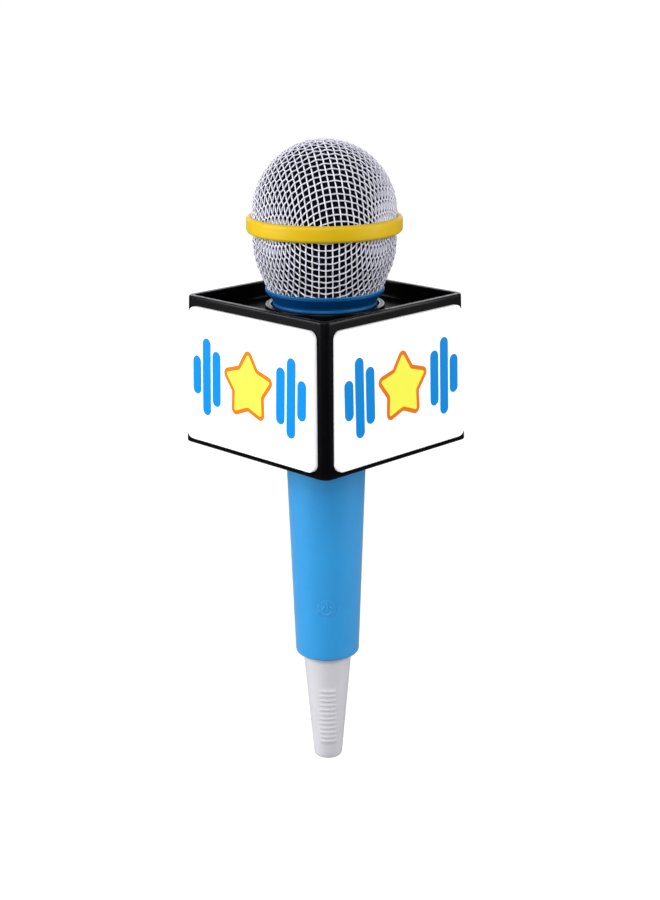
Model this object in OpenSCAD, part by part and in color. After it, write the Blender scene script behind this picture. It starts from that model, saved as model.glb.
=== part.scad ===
// Toy interview microphone with a removable square flag.
// Z runs up the axis, the tip of the tail is the origin, and the power button faces -Y.
// Millimetres.

/* [Tail] */
// Height of the seam between the tail and the handle
tail_h = 43.4; // [40:0.2:46]
// Radius of the tail at its tip
tail_tip_r = 5.3; // [4.6:0.05:5.4]
// Radius of the tail at its shoulder
tail_top_r = 9.15; // [8.6:0.05:9.4]
// Number of raised grip ribs in each patch
rib_count = 12; // [6:1:14]
// Distance from one grip rib to the next
rib_pitch = 1.97; // [1.6:0.01:2.1]

/* [Handle] */
// Height of the handle's top end
handle_top = 176.8; // [176:0.2:178]
// Outer radius at the top of the rounded lower edge
handle_low_r = 12.0; // [11.8:0.1:12.6]
// Outer radius at the top end
handle_top_r = 16.7; // [16.4:0.1:17]
// Height of the centre of the power button
button_z = 65.3; // [62:0.5:80]
// Radius of the power button
button_r = 3.6; // [3.4:0.1:4.4]
// How far the power button travels
button_travel = 0.4; // [0.2:0.05:0.4]

/* [Head] */
// Outer radius of the wire ball
ball_r = 25.9; // [25.4:0.1:26.4]
// Height of the centre of the ball's upper dome
dome_z = 210.5; // [209.5:0.1:211.5]
// Height of the middle of the band round the ball
band_z = 206.8; // [206:0.1:207.4]
// Outer radius of the band
band_r = 27.7; // [27.2:0.1:28.4]
// Height of the band
band_h = 5.8; // [5:0.1:6.4]
// Thickness of the wire mesh
mesh_t = 0.9; // [0.7:0.05:1]
// Height of the collar's upper lip
collar_top = 184.0; // [183.6:0.1:184.4]
// Outer radius of the collar's upper lip
collar_r = 21.3; // [21.2:0.05:21.6]

/* [Flag] */
// Side of the square box at its top edge
flag_side = 70.7; // [69:0.1:73]
// Side of the square box at its bottom edge
flag_foot = 73.7; // [71:0.1:75]
// Height of the box
flag_h = 54.2; // [54:0.2:55]
// Height of the bottom edge of the box
flag_z = 127.2; // [127:0.2:127.6]
// Radius of the box's upright corners
flag_corner_r = 3.2; // [3:0.1:5]
// Wall thickness of the box
flag_wall = 2.2; // [2:0.1:2.6]
// Width of the white face panels along their top edge
panel_w = 63.3; // [58:0.1:65]
// Height of the white face panels
panel_h = 48.6; // [46:0.2:49]
// Thickness of the white face panels
panel_t = 1.8; // [1.2:0.1:2.4]
// Corner radius of the white face panels
panel_corner_r = 3; // [2:0.5:4]
// Turn of the box about the handle at rest, in degrees
flag_yaw = 45; // [0:5:90]

/* [Hidden] */
$fn = 96;
wire_fn = 10;          // sides of a swept wire

// Clearances
gap = 0.1;             // between pieces that turn or slide on each other
seat = 0.02;           // between pieces that press against each other
big = 200;             // longer than any cut needs

// Tail
seal_t = 0.4;          // thickness of the sealing washer under the handle
stub_r = 7.4;          // threaded stub of the tail
stub_h = 8.2;
stub_bore_r = 5.98;
rib_w = 6.8;           // width of a grip rib
rib_h = 0.9;           // height of a grip rib along the axis
rib_proud = 0.3;       // how far a rib stands out
rib_first_z = 7;       // height of the lowest rib

// Handle
edge_r = 1.4;          // rounding of the handle's lower edge
plug_top = 52;         // top of the solid ring that takes the tail's thread
bore_low_r = 10.5;     // inner radius just above that ring
bore_high_r = 13.0;    // inner radius just below the collar's thread
thread_z = 163;        // lower end of the collar's thread
thread_r = 13.1;
boss_x = 10.0;         // the two bosses that take the chassis screws
boss_r = 2.3;
boss_top = 156;
boss_h = 10;
screw_hole_r = 0.87;
pocket_r = 5.3;        // flat pocket behind the power button
pocket_d = 10.75;      // distance of the pocket's floor from the axis
button_gap = 0.12;
slope = (handle_top_r - handle_low_r) / (handle_top - tail_h - edge_r);

// Batteries and chassis
cell_r = 5.25;
cell_len = 44.5;
nub_r = 1.9;
nub_h = 1.2;
cell_z = plug_top - 0.4;               // underside of the lower battery
cell_top = cell_z + 2 * cell_len;
tube_r = 6.4;                          // outside of the battery tube
tube_bore_r = 5.5;
contact_t = 0.3;                       // thickness of the contact metal
chassis_z = plug_top + contact_t + gap;
cap_z = cell_top + 1.4;                // underside of the battery tube's end wall
flange_t = 2;
flange_r = 12.3;
lantern_r = boss_x - boss_r - 0.2;     // open cage between the battery tube and the flange

// Circuit board, measured outwards from the axis towards -Y
board_w = 10.6;
board_in = 6.6;
board_out = 7.6;
board_low = 56;
board_high = 150;
switch_out = 9.2;
plunger_out = 9.75;

// Speaker and capsule
cradle_r = 11.3;
cradle_bore_r = 10.1;
cradle_top = 189;
speaker_z = 182;
speaker_r = 10;
speaker_h = 4.4;
cup_z = 199;
cup_h = 8;
cup_r = 7.2;
cup_bore_r = 6.0;
capsule_r = 4.85;
capsule_h = 6.7;

// Collar
gasket_t = 0.8;
collar_z = handle_top + gasket_t;
neck_r = 13.0;
neck_h = 10;
neck_bore_r = 11.6;
bead_r = 18.8;

// Lower half of the ball: a straight wall, an arc and a cone
lower_r = 25.75;
lower_arc_z = 201;
lower_arc_r = 28;
lower_cone = 24;       // half angle of the cone, in degrees
web_t = 0.4;           // rib of the band that parts the two mesh halves

// Flag
rim_drop = 5.9;        // depth of the recessed top plate
plate_t = 2;
ring_r = 21.4;         // tube that holds the sleeve
ring_bore_r = 20.0;
ring_top = flag_z + flag_h - 3.3;
lip_bore_r = 19.4;
sleeve_z = 150;
sleeve_r = 19.9;
post_xy = flag_side / 2 - 5.05;
post_r = 3.2;
base_z = flag_z + 0.8;
base_bore_r = 16.7;
base_tube_r = 18.2;
panel_z = flag_z + 2.3 + panel_h / 2;
draft = atan((flag_foot - flag_side) / 2 / flag_h);    // lean of the box's walls
peg_r = 1.2;
peg_y = 24;
peg_z = 16;
label_t = 0.15;
label_margin = 0.5;

function handle_r(z) = handle_low_r + slope * (z - tail_h - edge_r);
function bore_r(z) = bore_low_r + (bore_high_r - bore_low_r) * (z - plug_top) / (thread_z - plug_top);
function tail_r(z) = tail_tip_r + (tail_top_r - tail_tip_r) * z / tail_h;
function flag_half(z) = (flag_foot + (flag_side - flag_foot) * (z - flag_z) / flag_h) / 2;

// Points along an arc about c, from angle a to angle b
function arc(c, r, a, b, n = 12) =
    [for (i = [0:n]) let (t = a + (b - a) * i / n) c + r * [cos(t), sin(t)]];

// An anticlockwise outline with its corners rounded to radius r
function rounded(p, r, n = 8) =
    [for (i = [0:len(p) - 1])
        let (
            here = p[i],
            u = unit(here - p[(i + len(p) - 1) % len(p)]),
            v = unit(p[(i + 1) % len(p)] - here),
            turn = acos(u * v),
            start = atan2(-u[0], u[1])
        )
        for (q = arc(here + unit(v - u) * r / cos(turn / 2), r, start, start + turn, n)) q];

// The outline of a face panel, drawn in by an inset
function panel_outline(inset) =
    let (
        h = panel_h / 2 - inset,
        high = panel_w / 2 + inset * tan(draft) - inset / cos(draft),
        low = high + 2 * h * tan(draft)
    )
    rounded([[-low, -h], [low, -h], [high, h], [-high, h]], panel_corner_r - inset);

// The lower mesh, d inside its outer face, from height z up to the band
function lower_edge(d, z) =
    let (
        c = [lower_r - lower_arc_r, lower_arc_z],
        low = c + (lower_arc_r - d) * [cos(lower_cone), -sin(lower_cone)],
        foot = [low[0] - (low[1] - z) * tan(lower_cone), z]
    )
    concat([foot], arc(c, lower_arc_r - d, -lower_cone, 0));

// A point on a Catmull-Rom curve through p, segment i, share t
function catmull(p, i, t) =
    let (
        a = p[max(i - 1, 0)],
        b = p[i],
        c = p[i + 1],
        d = p[min(i + 2, len(p) - 1)]
    )
    0.5 * (2 * b + (c - a) * t + (2 * a - 5 * b + 4 * c - d) * t * t
        + (3 * b - a - 3 * c + d) * t * t * t);

function smooth(p, n) =
    concat([for (i = [0:len(p) - 2], k = [0:n - 1]) catmull(p, i, k / n)], [p[len(p) - 1]]);

function unit(v) = v / norm(v);

// A closed round rod swept along the points of path
module rod(path, r, sides = wire_fn) {
    n = len(path);
    rings = [for (i = [0:n - 1])
        let (
            t = unit(path[min(i + 1, n - 1)] - path[max(i - 1, 0)]),
            side = unit(cross(t, abs(t[0]) < 0.9 ? [1, 0, 0] : [0, 1, 0])),
            up = cross(t, side)
        )
        for (k = [0:sides - 1])
            path[i] + r * (cos(360 * k / sides) * side + sin(360 * k / sides) * up)];
    walls = [for (i = [0:n - 2], k = [0:sides - 1])
        let (a = i * sides + k, b = i * sides + (k + 1) % sides)
        [a, a + sides, b + sides, b]];
    ends = [[for (k = [0:sides - 1]) k], [for (k = [sides - 1:-1:0]) (n - 1) * sides + k]];
    polyhedron(rings, concat(walls, ends));
}

// A wire in a plane of constant x, through points given as [y, z]
module flat_wire(x, points, r) {
    rod([for (p = smooth(points, 5)) [x, p[0], p[1]]], r);
}

module ring(outer, inner, h) {
    difference() {
        cylinder(r = outer, h = h);
        translate([0, 0, -1]) cylinder(r = inner, h = h + 2);
    }
}

module rounded_rect(w, h, r) {
    square([w - 2 * r, h], center = true);
    square([w, h - 2 * r], center = true);
    for (x = [-1, 1], y = [-1, 1])
        translate([x * (w / 2 - r), y * (h / 2 - r)]) circle(r);
}

// Places children, drawn with z outwards, on the -Y side at distance d from the axis
module on_front(d, z) {
    translate([0, -d, z]) rotate([90, 0, 0]) children();
}

// Handle -----------------------------------------------------------------

module handle_outline(grow = 0) {
    rotate_extrude()
        polygon(concat(
            [[0, tail_h]],
            arc([handle_low_r - edge_r, tail_h + edge_r], edge_r + grow, -90, 0),
            [[handle_top_r + grow, handle_top], [0, handle_top]]
        ));
}

module handle_bore() {
    translate([0, 0, tail_h - 1]) cylinder(r = stub_r + gap, h = big);
    translate([0, 0, plug_top])
        cylinder(r1 = bore_low_r, r2 = bore_high_r, h = thread_z - plug_top);
    translate([0, 0, thread_z - 0.01]) cylinder(r = thread_r, h = big);
}

module screw_boss() {
    translate([boss_x, 0, boss_top - boss_h]) {
        cylinder(r = boss_r, h = boss_h);
        translate([0, -boss_r * 0.6, 0]) cube([3, boss_r * 1.2, boss_h]);
    }
}

module handle_shell() {
    color("dodgerblue")
        difference() {
            union() {
                difference() {
                    handle_outline();
                    handle_bore();
                }
                screw_boss();
                mirror([1, 0, 0]) screw_boss();
            }
            on_front(0, button_z) {
                cylinder(r = button_r + button_gap, h = big);
                cylinder(r = pocket_r, h = pocket_d);
            }
            for (x = [-boss_x, boss_x])
                translate([x, 0, boss_top - boss_h - 1]) cylinder(r = screw_hole_r, h = boss_h + 2);
        }
}

// Chassis and electronics ------------------------------------------------

module board_rail() {
    translate([0, 0, chassis_z])
        linear_extrude(cap_z - chassis_z) {
            translate([5.45, -8.2]) square([0.95, 6.7]);
            translate([4.8, -8.2]) square([0.75, 0.5]);
            translate([4.8, -6.5]) square([0.75, 1.5]);
        }
}

module chassis() {
    color("dimgray") {
        difference() {
            union() {
                translate([0, 0, chassis_z]) cylinder(r = tube_r, h = cap_z - chassis_z + 1.2);
                translate([0, 0, chassis_z]) cylinder(r = 9.9, h = 1);
                translate([0, 0, cap_z]) cylinder(r = lantern_r, h = boss_top - cap_z + flange_t);
                translate([0, 0, boss_top]) cylinder(r = flange_r, h = flange_t);
            }
            translate([0, 0, chassis_z - 1]) cylinder(r = tube_bore_r, h = cap_z - chassis_z + 1);
            translate([0, 0, cap_z + 1.2]) cylinder(r = lantern_r - 1.1, h = big);
            translate([0, 0, cap_z - 1]) cylinder(r = 2, h = 4);
            // room for the board, the wires and the negative strip
            translate([-5.6, -12, chassis_z - 1]) cube([11.2, 5.5, board_high + 2 - chassis_z]);
            translate([-5.6, -12, cap_z + 1.2]) cube([11.2, 12, boss_top - cap_z - 1.2]);
            translate([-3, 0, cap_z + 1.2]) cube([6, 12, boss_top - cap_z - 1.2]);
            translate([-2, tube_r, chassis_z - 1]) cube([4, 6, 3]);
            translate([-1, tube_r, cap_z - 1]) cube([2, 4, 3]);
            translate([-3.4, -8.5, boss_top - 1]) cube([6.8, 8.5, flange_t + 2]);
            for (x = [-boss_x, boss_x])
                translate([x, 0, boss_top - 1]) cylinder(r = 1.2, h = flange_t + 2);
        }
        board_rail();
        mirror([1, 0, 0]) board_rail();
    }
}

module chassis_screws() {
    color("silver")
        for (x = [-boss_x, boss_x])
            translate([x, 0, boss_top + flange_t]) {
                difference() {
                    cylinder(r = 1.9, h = 1.3);
                    for (a = [0, 90])
                        rotate([0, 0, a]) translate([-1.2, -0.2, 0.7]) cube([2.4, 0.4, 1]);
                }
                translate([0, 0, -9]) cylinder(r = screw_hole_r - seat, h = 9.01);
            }
}

module circuit_board() {
    color("forestgreen")
        translate([-board_w / 2, -board_out, board_low])
            cube([board_w, board_out - board_in, board_high - board_low]);
}

module sound_chip() {
    color("black")
        difference() {
            on_front(board_out - 4.4, 116) sphere(r = 6);
            translate([-10, -board_out, 100]) cube([20, 20, 30]);
        }
}

module amplifier_chip() {
    color("black")
        translate([-2.5, -board_out - 1.5, 94]) cube([5, 1.5, 4]);
    color("silver")
        for (side = [-1, 1], i = [0:3])
            translate([side * 2.95 - 0.45, -board_out - 0.7, 94.3 + i]) cube([0.9, 0.7, 0.4]);
}

module capacitors() {
    color("slategray")
        for (z = [128, 135])
            on_front(board_out, z) cylinder(r = 2, h = 3.4);
}

module switch_body() {
    color("black")
        difference() {
            translate([-2.25, -switch_out, button_z - 2.25])
                cube([4.5, switch_out - board_out, 4.5]);
            on_front(board_out + 0.3, button_z) cylinder(r = 1.0 + gap, h = 5);
        }
}

module switch_plunger() {
    color("white")
        on_front(board_out + 0.9, button_z) cylinder(r = 1.0, h = plunger_out - board_out - 0.9);
}

// A ring open at the top with a bar standing in the opening, middle of the ring below centre
module power_mark() {
    translate([0, -0.7, 0]) {
        difference() {
            cylinder(r = 1.9, h = 20);
            translate([0, 0, -1]) cylinder(r = 1.45, h = 22);
            translate([-0.75, 0, -1]) cube([1.5, 4, 22]);
        }
        translate([-0.22, 0.6, 0]) cube([0.44, 2.6, 20]);
    }
}

module power_button() {
    color("dodgerblue") {
        intersection() {
            on_front(pocket_d - 0.5, button_z) cylinder(r = button_r, h = 10);
            handle_outline(0.05);
        }
        intersection() {
            on_front(pocket_d, button_z) power_mark();
            handle_outline(0.25);
        }
        on_front(plunger_out + button_travel / 2, button_z)
            cylinder(r = pocket_r - 0.4, h = pocket_d - gap - plunger_out - button_travel / 2);
        on_front(plunger_out + seat, button_z) cylinder(r = 1.4, h = 1);
    }
}

// Batteries and contacts ---------------------------------------------------

module cell(z) {
    translate([0, 0, z + seat]) {
        cylinder(r = cell_r, h = cell_len - nub_h);
        cylinder(r = nub_r, h = cell_len - 2 * seat);
    }
}

module battery_lower() {
    color("limegreen") cell(cell_z);
}

module battery_upper() {
    color("limegreen") cell(cell_z + cell_len);
}

module positive_contact() {
    color("gold") {
        translate([0, 0, cell_top + seat]) cylinder(r = 4.6, h = 0.4);
        translate([-1, -0.15, cell_top + 0.3]) cube([2, 0.3, 4.2]);
    }
}

module negative_contact() {
    color("gold") {
        translate([0, 0, plug_top + seat]) ring(9.7, 5.8, contact_t);
        translate([-1.5, tube_r + 0.15, plug_top + seat]) cube([3, contact_t, 9]);
    }
}

// The tail's contact: a cup with a rim that folds over the top of the stub
module spring_cup() {
    cup_r = stub_bore_r - seat;
    color("gold")
        translate([0, 0, tail_h + 1.2]) {
            cylinder(r = cup_r, h = 0.35);
            ring(cup_r, cup_r - contact_t, stub_h - 1.2 + contact_t);
            translate([0, 0, stub_h - 1.2 + seat]) ring(7.1, cup_r - contact_t, contact_t);
        }
}

module battery_spring() {
    turns = 4;
    steps = 24;
    low = tail_h + 1.6 + 0.35;
    high = cell_z - 0.4;
    color("silver")
        rod([for (i = [0:turns * steps])
            let (t = i / (turns * steps), r = 4.9 - 1.9 * t, a = 360 * turns * t)
            [r * cos(a), r * sin(a), low + (high - low) * t]], 0.35, 8);
}

// Wires --------------------------------------------------------------------

module battery_wires() {
    color("crimson")
        flat_wire(0, [[-0.8, cap_z + 2.2], [-1.6, cap_z + 4.5], [-4, cap_z + 5.5], [-6, 146.5]], 0.5);
    color("black")
        flat_wire(0, [[7.4, 60], [7.5, 70], [7.6, 105], [7.4, 138], [6, 147], [0, 151.5],
            [-5, 152.2], [-7.1, 150.6]], 0.5);
}

module speaker_wires() {
    for (side = [-1, 1])
        color(side < 0 ? "crimson" : "black")
            flat_wire(side * 2.6, [[-7.1, 150.6], [-6.6, 154], [-5.4, 160], [-5.6, 168], [-7.6, 175],
                [-7.8, 180.8]], 0.5);
}

module capsule_wires() {
    for (side = [-1, 1])
        color(side < 0 ? "white" : "gold")
            flat_wire(side * 1.1, [[-7.1, 150.6], [-4, 154.5], [2, 159], [8, 165], [10.7, 172],
                [10.8, 180], [10.8, 189], [10, 192.8], [4.2, 196.3], [1.6, 200.5]], 0.45);
}

// Speaker and microphone capsule ---------------------------------------------

module speaker_cradle() {
    low = boss_top + flange_t;
    color("dimgray")
        difference() {
            translate([0, 0, low]) cylinder(r = cradle_r, h = cradle_top - low);
            translate([0, 0, speaker_z]) cylinder(r = cradle_bore_r, h = big);
            translate([0, 0, low - 1]) cylinder(r = 8.8, h = big);
            // slot for the capsule wires, windows and room for the screw heads
            translate([-1.6, 8, 162]) cube([3.2, 6, big]);
            for (a = [30, 150, 270])
                rotate([0, 0, a]) translate([5, -4, 166]) cube([10, 8, 11]);
            for (x = [-boss_x, boss_x])
                translate([x, 0, low - 1]) cylinder(r = 2.2, h = 3.4);
        }
}

module speaker_frame() {
    color("silver")
        translate([0, 0, speaker_z + seat])
            rotate_extrude()
                polygon([[4, 0], [8.6, 0], [9.0, 1.2], [speaker_r, 1.6], [speaker_r, speaker_h],
                    [9.3, speaker_h], [9.3, 2.4], [8.2, 1.8], [7.9, 0.8], [4, 0.8]]);
}

module speaker_cone() {
    color("black")
        translate([0, 0, speaker_z + seat])
            rotate_extrude()
                polygon([[0, 3.5], [2.6, 2.9], [3.2, 1.5], [7.6, 3.4], [8.4, 4.0], [9.2, 3.4],
                    [9.2, 3.7], [8.4, 4.3], [7.5, 3.7], [3.4, 2.0], [2.8, 3.2], [0, 3.8]]);
}

module speaker_magnet() {
    color("silver")
        translate([0, 0, speaker_z - 4]) cylinder(r = 5.5, h = 4);
}

module capsule_bridge() {
    color("dimgray") {
        translate([0, 0, speaker_z + speaker_h + 0.1])
            difference() {
                ring(cradle_bore_r - gap, 8.6, 1.8);
                translate([-1.6, 9, -1]) cube([3.2, 5, 4]);
            }
        translate([0, 0, cup_z])
            difference() {
                cylinder(r = cup_r, h = cup_h);
                translate([0, 0, 1]) cylinder(r = cup_bore_r, h = cup_h);
                translate([0, 0, -1]) cylinder(r = 3.6, h = cup_h);
            }
        for (a = [30, 150, 270])
            rotate([90, 0, a])
                linear_extrude(1.6, center = true)
                    polygon([[8.8, speaker_z + speaker_h + 0.8], [9.9, speaker_z + speaker_h + 0.8],
                        [7.1, cup_z + 2], [6.2, cup_z + 2], [6.2, cup_z + 0.3]]);
    }
}

module capsule_boot() {
    color("black")
        translate([0, 0, cup_z + 1 + seat])
            difference() {
                cylinder(r = cup_bore_r - seat, h = cup_h);
                translate([0, 0, 0.8]) cylinder(r = capsule_r + seat, h = cup_h);
                translate([0, 0, -1]) cylinder(r = 3.4, h = cup_h);
            }
}

module mic_capsule() {
    color("silver")
        translate([0, 0, cup_z + 1.8 + 2 * seat])
            difference() {
                cylinder(r = capsule_r, h = capsule_h);
                translate([0, 0, capsule_h - 0.3]) cylinder(r = 3.3, h = 1);
            }
}

// Tail -------------------------------------------------------------------------

module tail_outline(grow = 0) {
    tip = 0.9;
    shoulder = tail_h - seal_t;
    rotate_extrude()
        polygon(concat(
            [[0, 0]],
            arc([tail_r(0) - tip, tip], tip + grow, -90, 0, 8),
            [[tail_r(shoulder) + grow, shoulder], [0, shoulder]]
        ));
}

module grip_ribs() {
    for (side = [0, 180])
        rotate([0, 0, side])
            intersection() {
                for (i = [0:rib_count - 1])
                    translate([-rib_w / 2, -20, rib_first_z + i * rib_pitch])
                        cube([rib_w, 20, rib_h]);
                tail_outline(rib_proud);
            }
}

module tail_shell() {
    wall = 1.6;
    color("whitesmoke")
        difference() {
            union() {
                tail_outline();
                grip_ribs();
                translate([0, 0, tail_h - 1]) cylinder(r = stub_r, h = stub_h + 1);
            }
            translate([0, 0, 2.4])
                cylinder(r1 = tail_r(2.4) - wall, r2 = stub_bore_r - 1, h = tail_h - 2.4);
            translate([0, 0, tail_h + 1.2 - seat]) cylinder(r = stub_bore_r, h = big);
            translate([0, 0, tail_h - 1]) cylinder(r = stub_bore_r - 1, h = 5);
        }
}

module tail_seal() {
    color("gray")
        translate([0, 0, tail_h - seal_t + seat])
            ring(tail_top_r - 0.3, stub_r + 0.08, seal_t - 2 * seat);
}

// Head -------------------------------------------------------------------------

module head_gasket() {
    color("black")
        translate([0, 0, handle_top + seat])
            ring(handle_top_r - 0.3, neck_r + 0.08, gasket_t - 2 * seat);
}

module grille_collar() {
    color("royalblue")
        rotate_extrude()
            polygon(concat(
                [[neck_bore_r, collar_z - neck_h], [neck_r, collar_z - neck_h], [neck_r, collar_z],
                    [bead_r - 0.4, collar_z]],
                arc([bead_r - 0.5, collar_z + 0.6], 0.5, -60, 90, 6),
                [[18.4, collar_z + 1.5], [18.9, collar_z + 2.2], [19.9, collar_z + 3.4],
                    [20.9, collar_z + 4.6]],
                arc([collar_r - 0.5, collar_top - 0.5], 0.5, -30, 90, 6),
                [[20.9, collar_top], [20.1, 182.2], [19.3, 181.4], [neck_bore_r, 181.4]]
            ));
}

// Both mesh halves are drawn as plain shells with the mesh's true faces
module grille_lower() {
    low = 182.4;
    high = band_z - web_t / 2 - 0.05;
    color("silver")
        rotate_extrude()
            polygon(concat(
                lower_edge(0, low), [[lower_r, high], [lower_r - mesh_t, high]],
                [for (i = [13:-1:0]) lower_edge(mesh_t, low)[i]]
            ));
}

module grille_upper() {
    low = band_z + web_t / 2 + 0.05;
    color("silver")
        rotate_extrude() {
            intersection() {
                translate([0, dome_z])
                    difference() {
                        circle(r = ball_r);
                        circle(r = ball_r - mesh_t);
                    }
                translate([0, dome_z]) square([ball_r + 1, ball_r + 1]);
            }
            translate([ball_r - mesh_t, low]) square([mesh_t, dome_z - low]);
        }
}

module grille_band() {
    bevel = 1.2;
    half = band_h / 2;
    color("gold")
        rotate_extrude()
            translate([0, band_z])
                polygon(concat(
                    arc([band_r - bevel, half - bevel], bevel, 0, 90, 8),
                    [[ball_r + gap, half], [ball_r + gap, web_t / 2], [24.6, web_t / 2],
                        [24.6, -web_t / 2], [ball_r + gap, -web_t / 2], [ball_r + gap, -half]],
                    arc([band_r - bevel, bevel - half], bevel, -90, 0, 8)
                ));
}

module foam_liner() {
    skin = mesh_t + 0.45;
    foam_t = 3;
    low = 185;
    inner = lower_edge(skin + foam_t, low);
    color("black")
        rotate_extrude()
            polygon(concat(
                lower_edge(skin, low),
                arc([0, dome_z], ball_r - skin, 0, 90, 24),
                arc([0, dome_z], ball_r - skin - foam_t, 90, 0, 24),
                [for (i = [13:-1:0]) inner[i]]
            ));
}

// Flag -------------------------------------------------------------------------

module in_flag() {
    rotate([0, 0, flag_yaw]) children();
}

// Sides are numbered anticlockwise from the one that faces +X before the flag is turned
module on_side(i) {
    rotate([0, 0, 90 * i])
        translate([flag_half(panel_z), 0, panel_z])
            rotate([0, -draft, 0]) rotate([90, 0, 90]) children();
}

// The box as a solid with leaning walls, drawn in by an inset and carried on past both ends
module box_core(inset, r, past = 0) {
    low = flag_z - past;
    high = flag_z + flag_h + past;
    foot = 2 * (flag_half(low) - inset);
    top = 2 * (flag_half(high) - inset);
    translate([0, 0, low])
        linear_extrude(high - low, scale = top / foot) rounded_rect(foot, foot, r);
}

module pegs(r, h) {
    for (y = [-peg_y, peg_y], z = [-peg_z, peg_z])
        translate([y, z, -h]) cylinder(r = r, h = h);
}

module flag_sleeve() {
    high = handle_top + 0.2;
    color("black")
        difference() {
            translate([0, 0, sleeve_z + seat]) cylinder(r = sleeve_r, h = high - sleeve_z);
            translate([0, 0, sleeve_z - 10])
                cylinder(
                    r1 = handle_r(sleeve_z - 10) + gap,
                    r2 = handle_r(handle_top + 10) + gap,
                    h = handle_top + 20 - sleeve_z
                );
        }
}

module flag_shell() {
    plate_z = flag_z + flag_h - rim_drop - plate_t;
    plate_w = 2 * (flag_half(plate_z) - flag_wall + 0.2);
    color("black")
        in_flag()
            difference() {
                union() {
                    difference() {
                        box_core(0, flag_corner_r);
                        box_core(flag_wall, flag_corner_r - flag_wall + 0.4, 1);
                    }
                    translate([0, 0, plate_z])
                        linear_extrude(plate_t) square(plate_w, center = true);
                    translate([0, 0, sleeve_z]) cylinder(r = ring_r, h = ring_top - sleeve_z);
                    for (x = [-post_xy, post_xy], y = [-post_xy, post_xy])
                        translate([x, y, base_z + 2.1])
                            cylinder(r = post_r, h = plate_z - base_z - 2);
                }
                translate([0, 0, sleeve_z - 1])
                    cylinder(r = ring_bore_r, h = handle_top + 0.3 - sleeve_z + 1);
                translate([0, 0, sleeve_z]) cylinder(r = lip_bore_r, h = big);
                for (x = [-post_xy, post_xy], y = [-post_xy, post_xy])
                    translate([x, y, base_z]) cylinder(r = screw_hole_r, h = 10);
                for (i = [0:3]) on_side(i) translate([0, 0, 1]) pegs(peg_r + 0.05, flag_wall + 2);
            }
}

module flag_base() {
    side = 2 * (flag_half(base_z + 2) - flag_wall - gap);
    color("black")
        in_flag()
            difference() {
                union() {
                    translate([0, 0, base_z])
                        linear_extrude(2) rounded_rect(side, side, flag_corner_r - flag_wall + 0.4);
                    translate([0, 0, base_z + 1])
                        cylinder(r = base_tube_r, h = sleeve_z - base_z - 1 - seat);
                    translate([0, 0, sleeve_z - 1.5])
                        cylinder(r = ring_bore_r - 0.2, h = 1.5 - seat);
                }
                translate([0, 0, base_z - 1]) cylinder(r = base_bore_r, h = big);
                for (x = [-post_xy, post_xy], y = [-post_xy, post_xy])
                    translate([x, y, base_z - 1]) {
                        cylinder(r = 1.1, h = 5);
                        cylinder(r = 2.3, h = 2.2);
                    }
            }
}

module flag_screws() {
    color("silver")
        in_flag()
            for (x = [-post_xy, post_xy], y = [-post_xy, post_xy])
                translate([x, y, base_z + 0.1])
                    difference() {
                        union() {
                            cylinder(r = 2.1, h = 1.08);
                            translate([0, 0, 1]) cylinder(r = screw_hole_r - seat, h = 8);
                        }
                        for (a = [0, 90])
                            rotate([0, 0, a]) translate([-1.3, -0.22, -0.5]) cube([2.6, 0.44, 1.1]);
                    }
}

module panel(i) {
    color("white")
        in_flag() on_side(i) {
            translate([0, 0, seat]) linear_extrude(panel_t - seat) polygon(panel_outline(0));
            translate([0, 0, 2 * seat]) pegs(peg_r, flag_wall - gap);
        }
}

module label(i) {
    color("ivory")
        in_flag() on_side(i) translate([0, 0, panel_t])
            linear_extrude(label_t) polygon(panel_outline(label_margin));
}

// ------------------------------------------------------------------------------

handle_shell();
chassis();
circuit_board();
sound_chip();
amplifier_chip();
capacitors();
switch_body();
switch_plunger();
power_button();
battery_lower();
battery_upper();
positive_contact();
negative_contact();
battery_wires();
speaker_wires();
capsule_wires();
chassis_screws();
speaker_cradle();
speaker_frame();
speaker_cone();
speaker_magnet();
capsule_bridge();
capsule_boot();
mic_capsule();
tail_seal();
tail_shell();
spring_cup();
battery_spring();
head_gasket();
grille_collar();
grille_lower();
grille_upper();
grille_band();
foam_liner();
flag_sleeve();
flag_shell();
flag_base();
flag_screws();
panel(3);  // panel_front_right
panel(2);  // panel_front_left
panel(1);  // panel_back_left
panel(0);  // panel_back_right
label(3);  // label_front_right
label(2);  // label_front_left
label(1);  // label_back_left
label(0);  // label_back_right
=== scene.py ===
import math

import bmesh
import bpy
import numpy as np
from mathutils import Matrix, Vector


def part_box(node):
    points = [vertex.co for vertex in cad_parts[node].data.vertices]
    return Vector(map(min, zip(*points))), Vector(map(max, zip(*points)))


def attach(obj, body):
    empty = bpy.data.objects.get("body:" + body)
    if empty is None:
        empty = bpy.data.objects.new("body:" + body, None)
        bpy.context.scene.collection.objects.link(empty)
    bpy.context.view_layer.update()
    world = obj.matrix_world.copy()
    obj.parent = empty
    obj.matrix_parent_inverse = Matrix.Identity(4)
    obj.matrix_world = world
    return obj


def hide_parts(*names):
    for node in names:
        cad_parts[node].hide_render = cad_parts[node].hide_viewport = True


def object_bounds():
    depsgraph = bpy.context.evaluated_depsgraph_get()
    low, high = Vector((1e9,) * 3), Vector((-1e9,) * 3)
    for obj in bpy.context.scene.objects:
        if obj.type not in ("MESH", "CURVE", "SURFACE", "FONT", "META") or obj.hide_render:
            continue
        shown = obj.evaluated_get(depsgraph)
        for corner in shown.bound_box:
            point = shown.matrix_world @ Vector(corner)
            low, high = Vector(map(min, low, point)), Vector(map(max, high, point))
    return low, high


# The looks of a toy interview microphone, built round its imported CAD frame.
# Helper functions take millimetres and degrees. Objects are made in metres.

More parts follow.
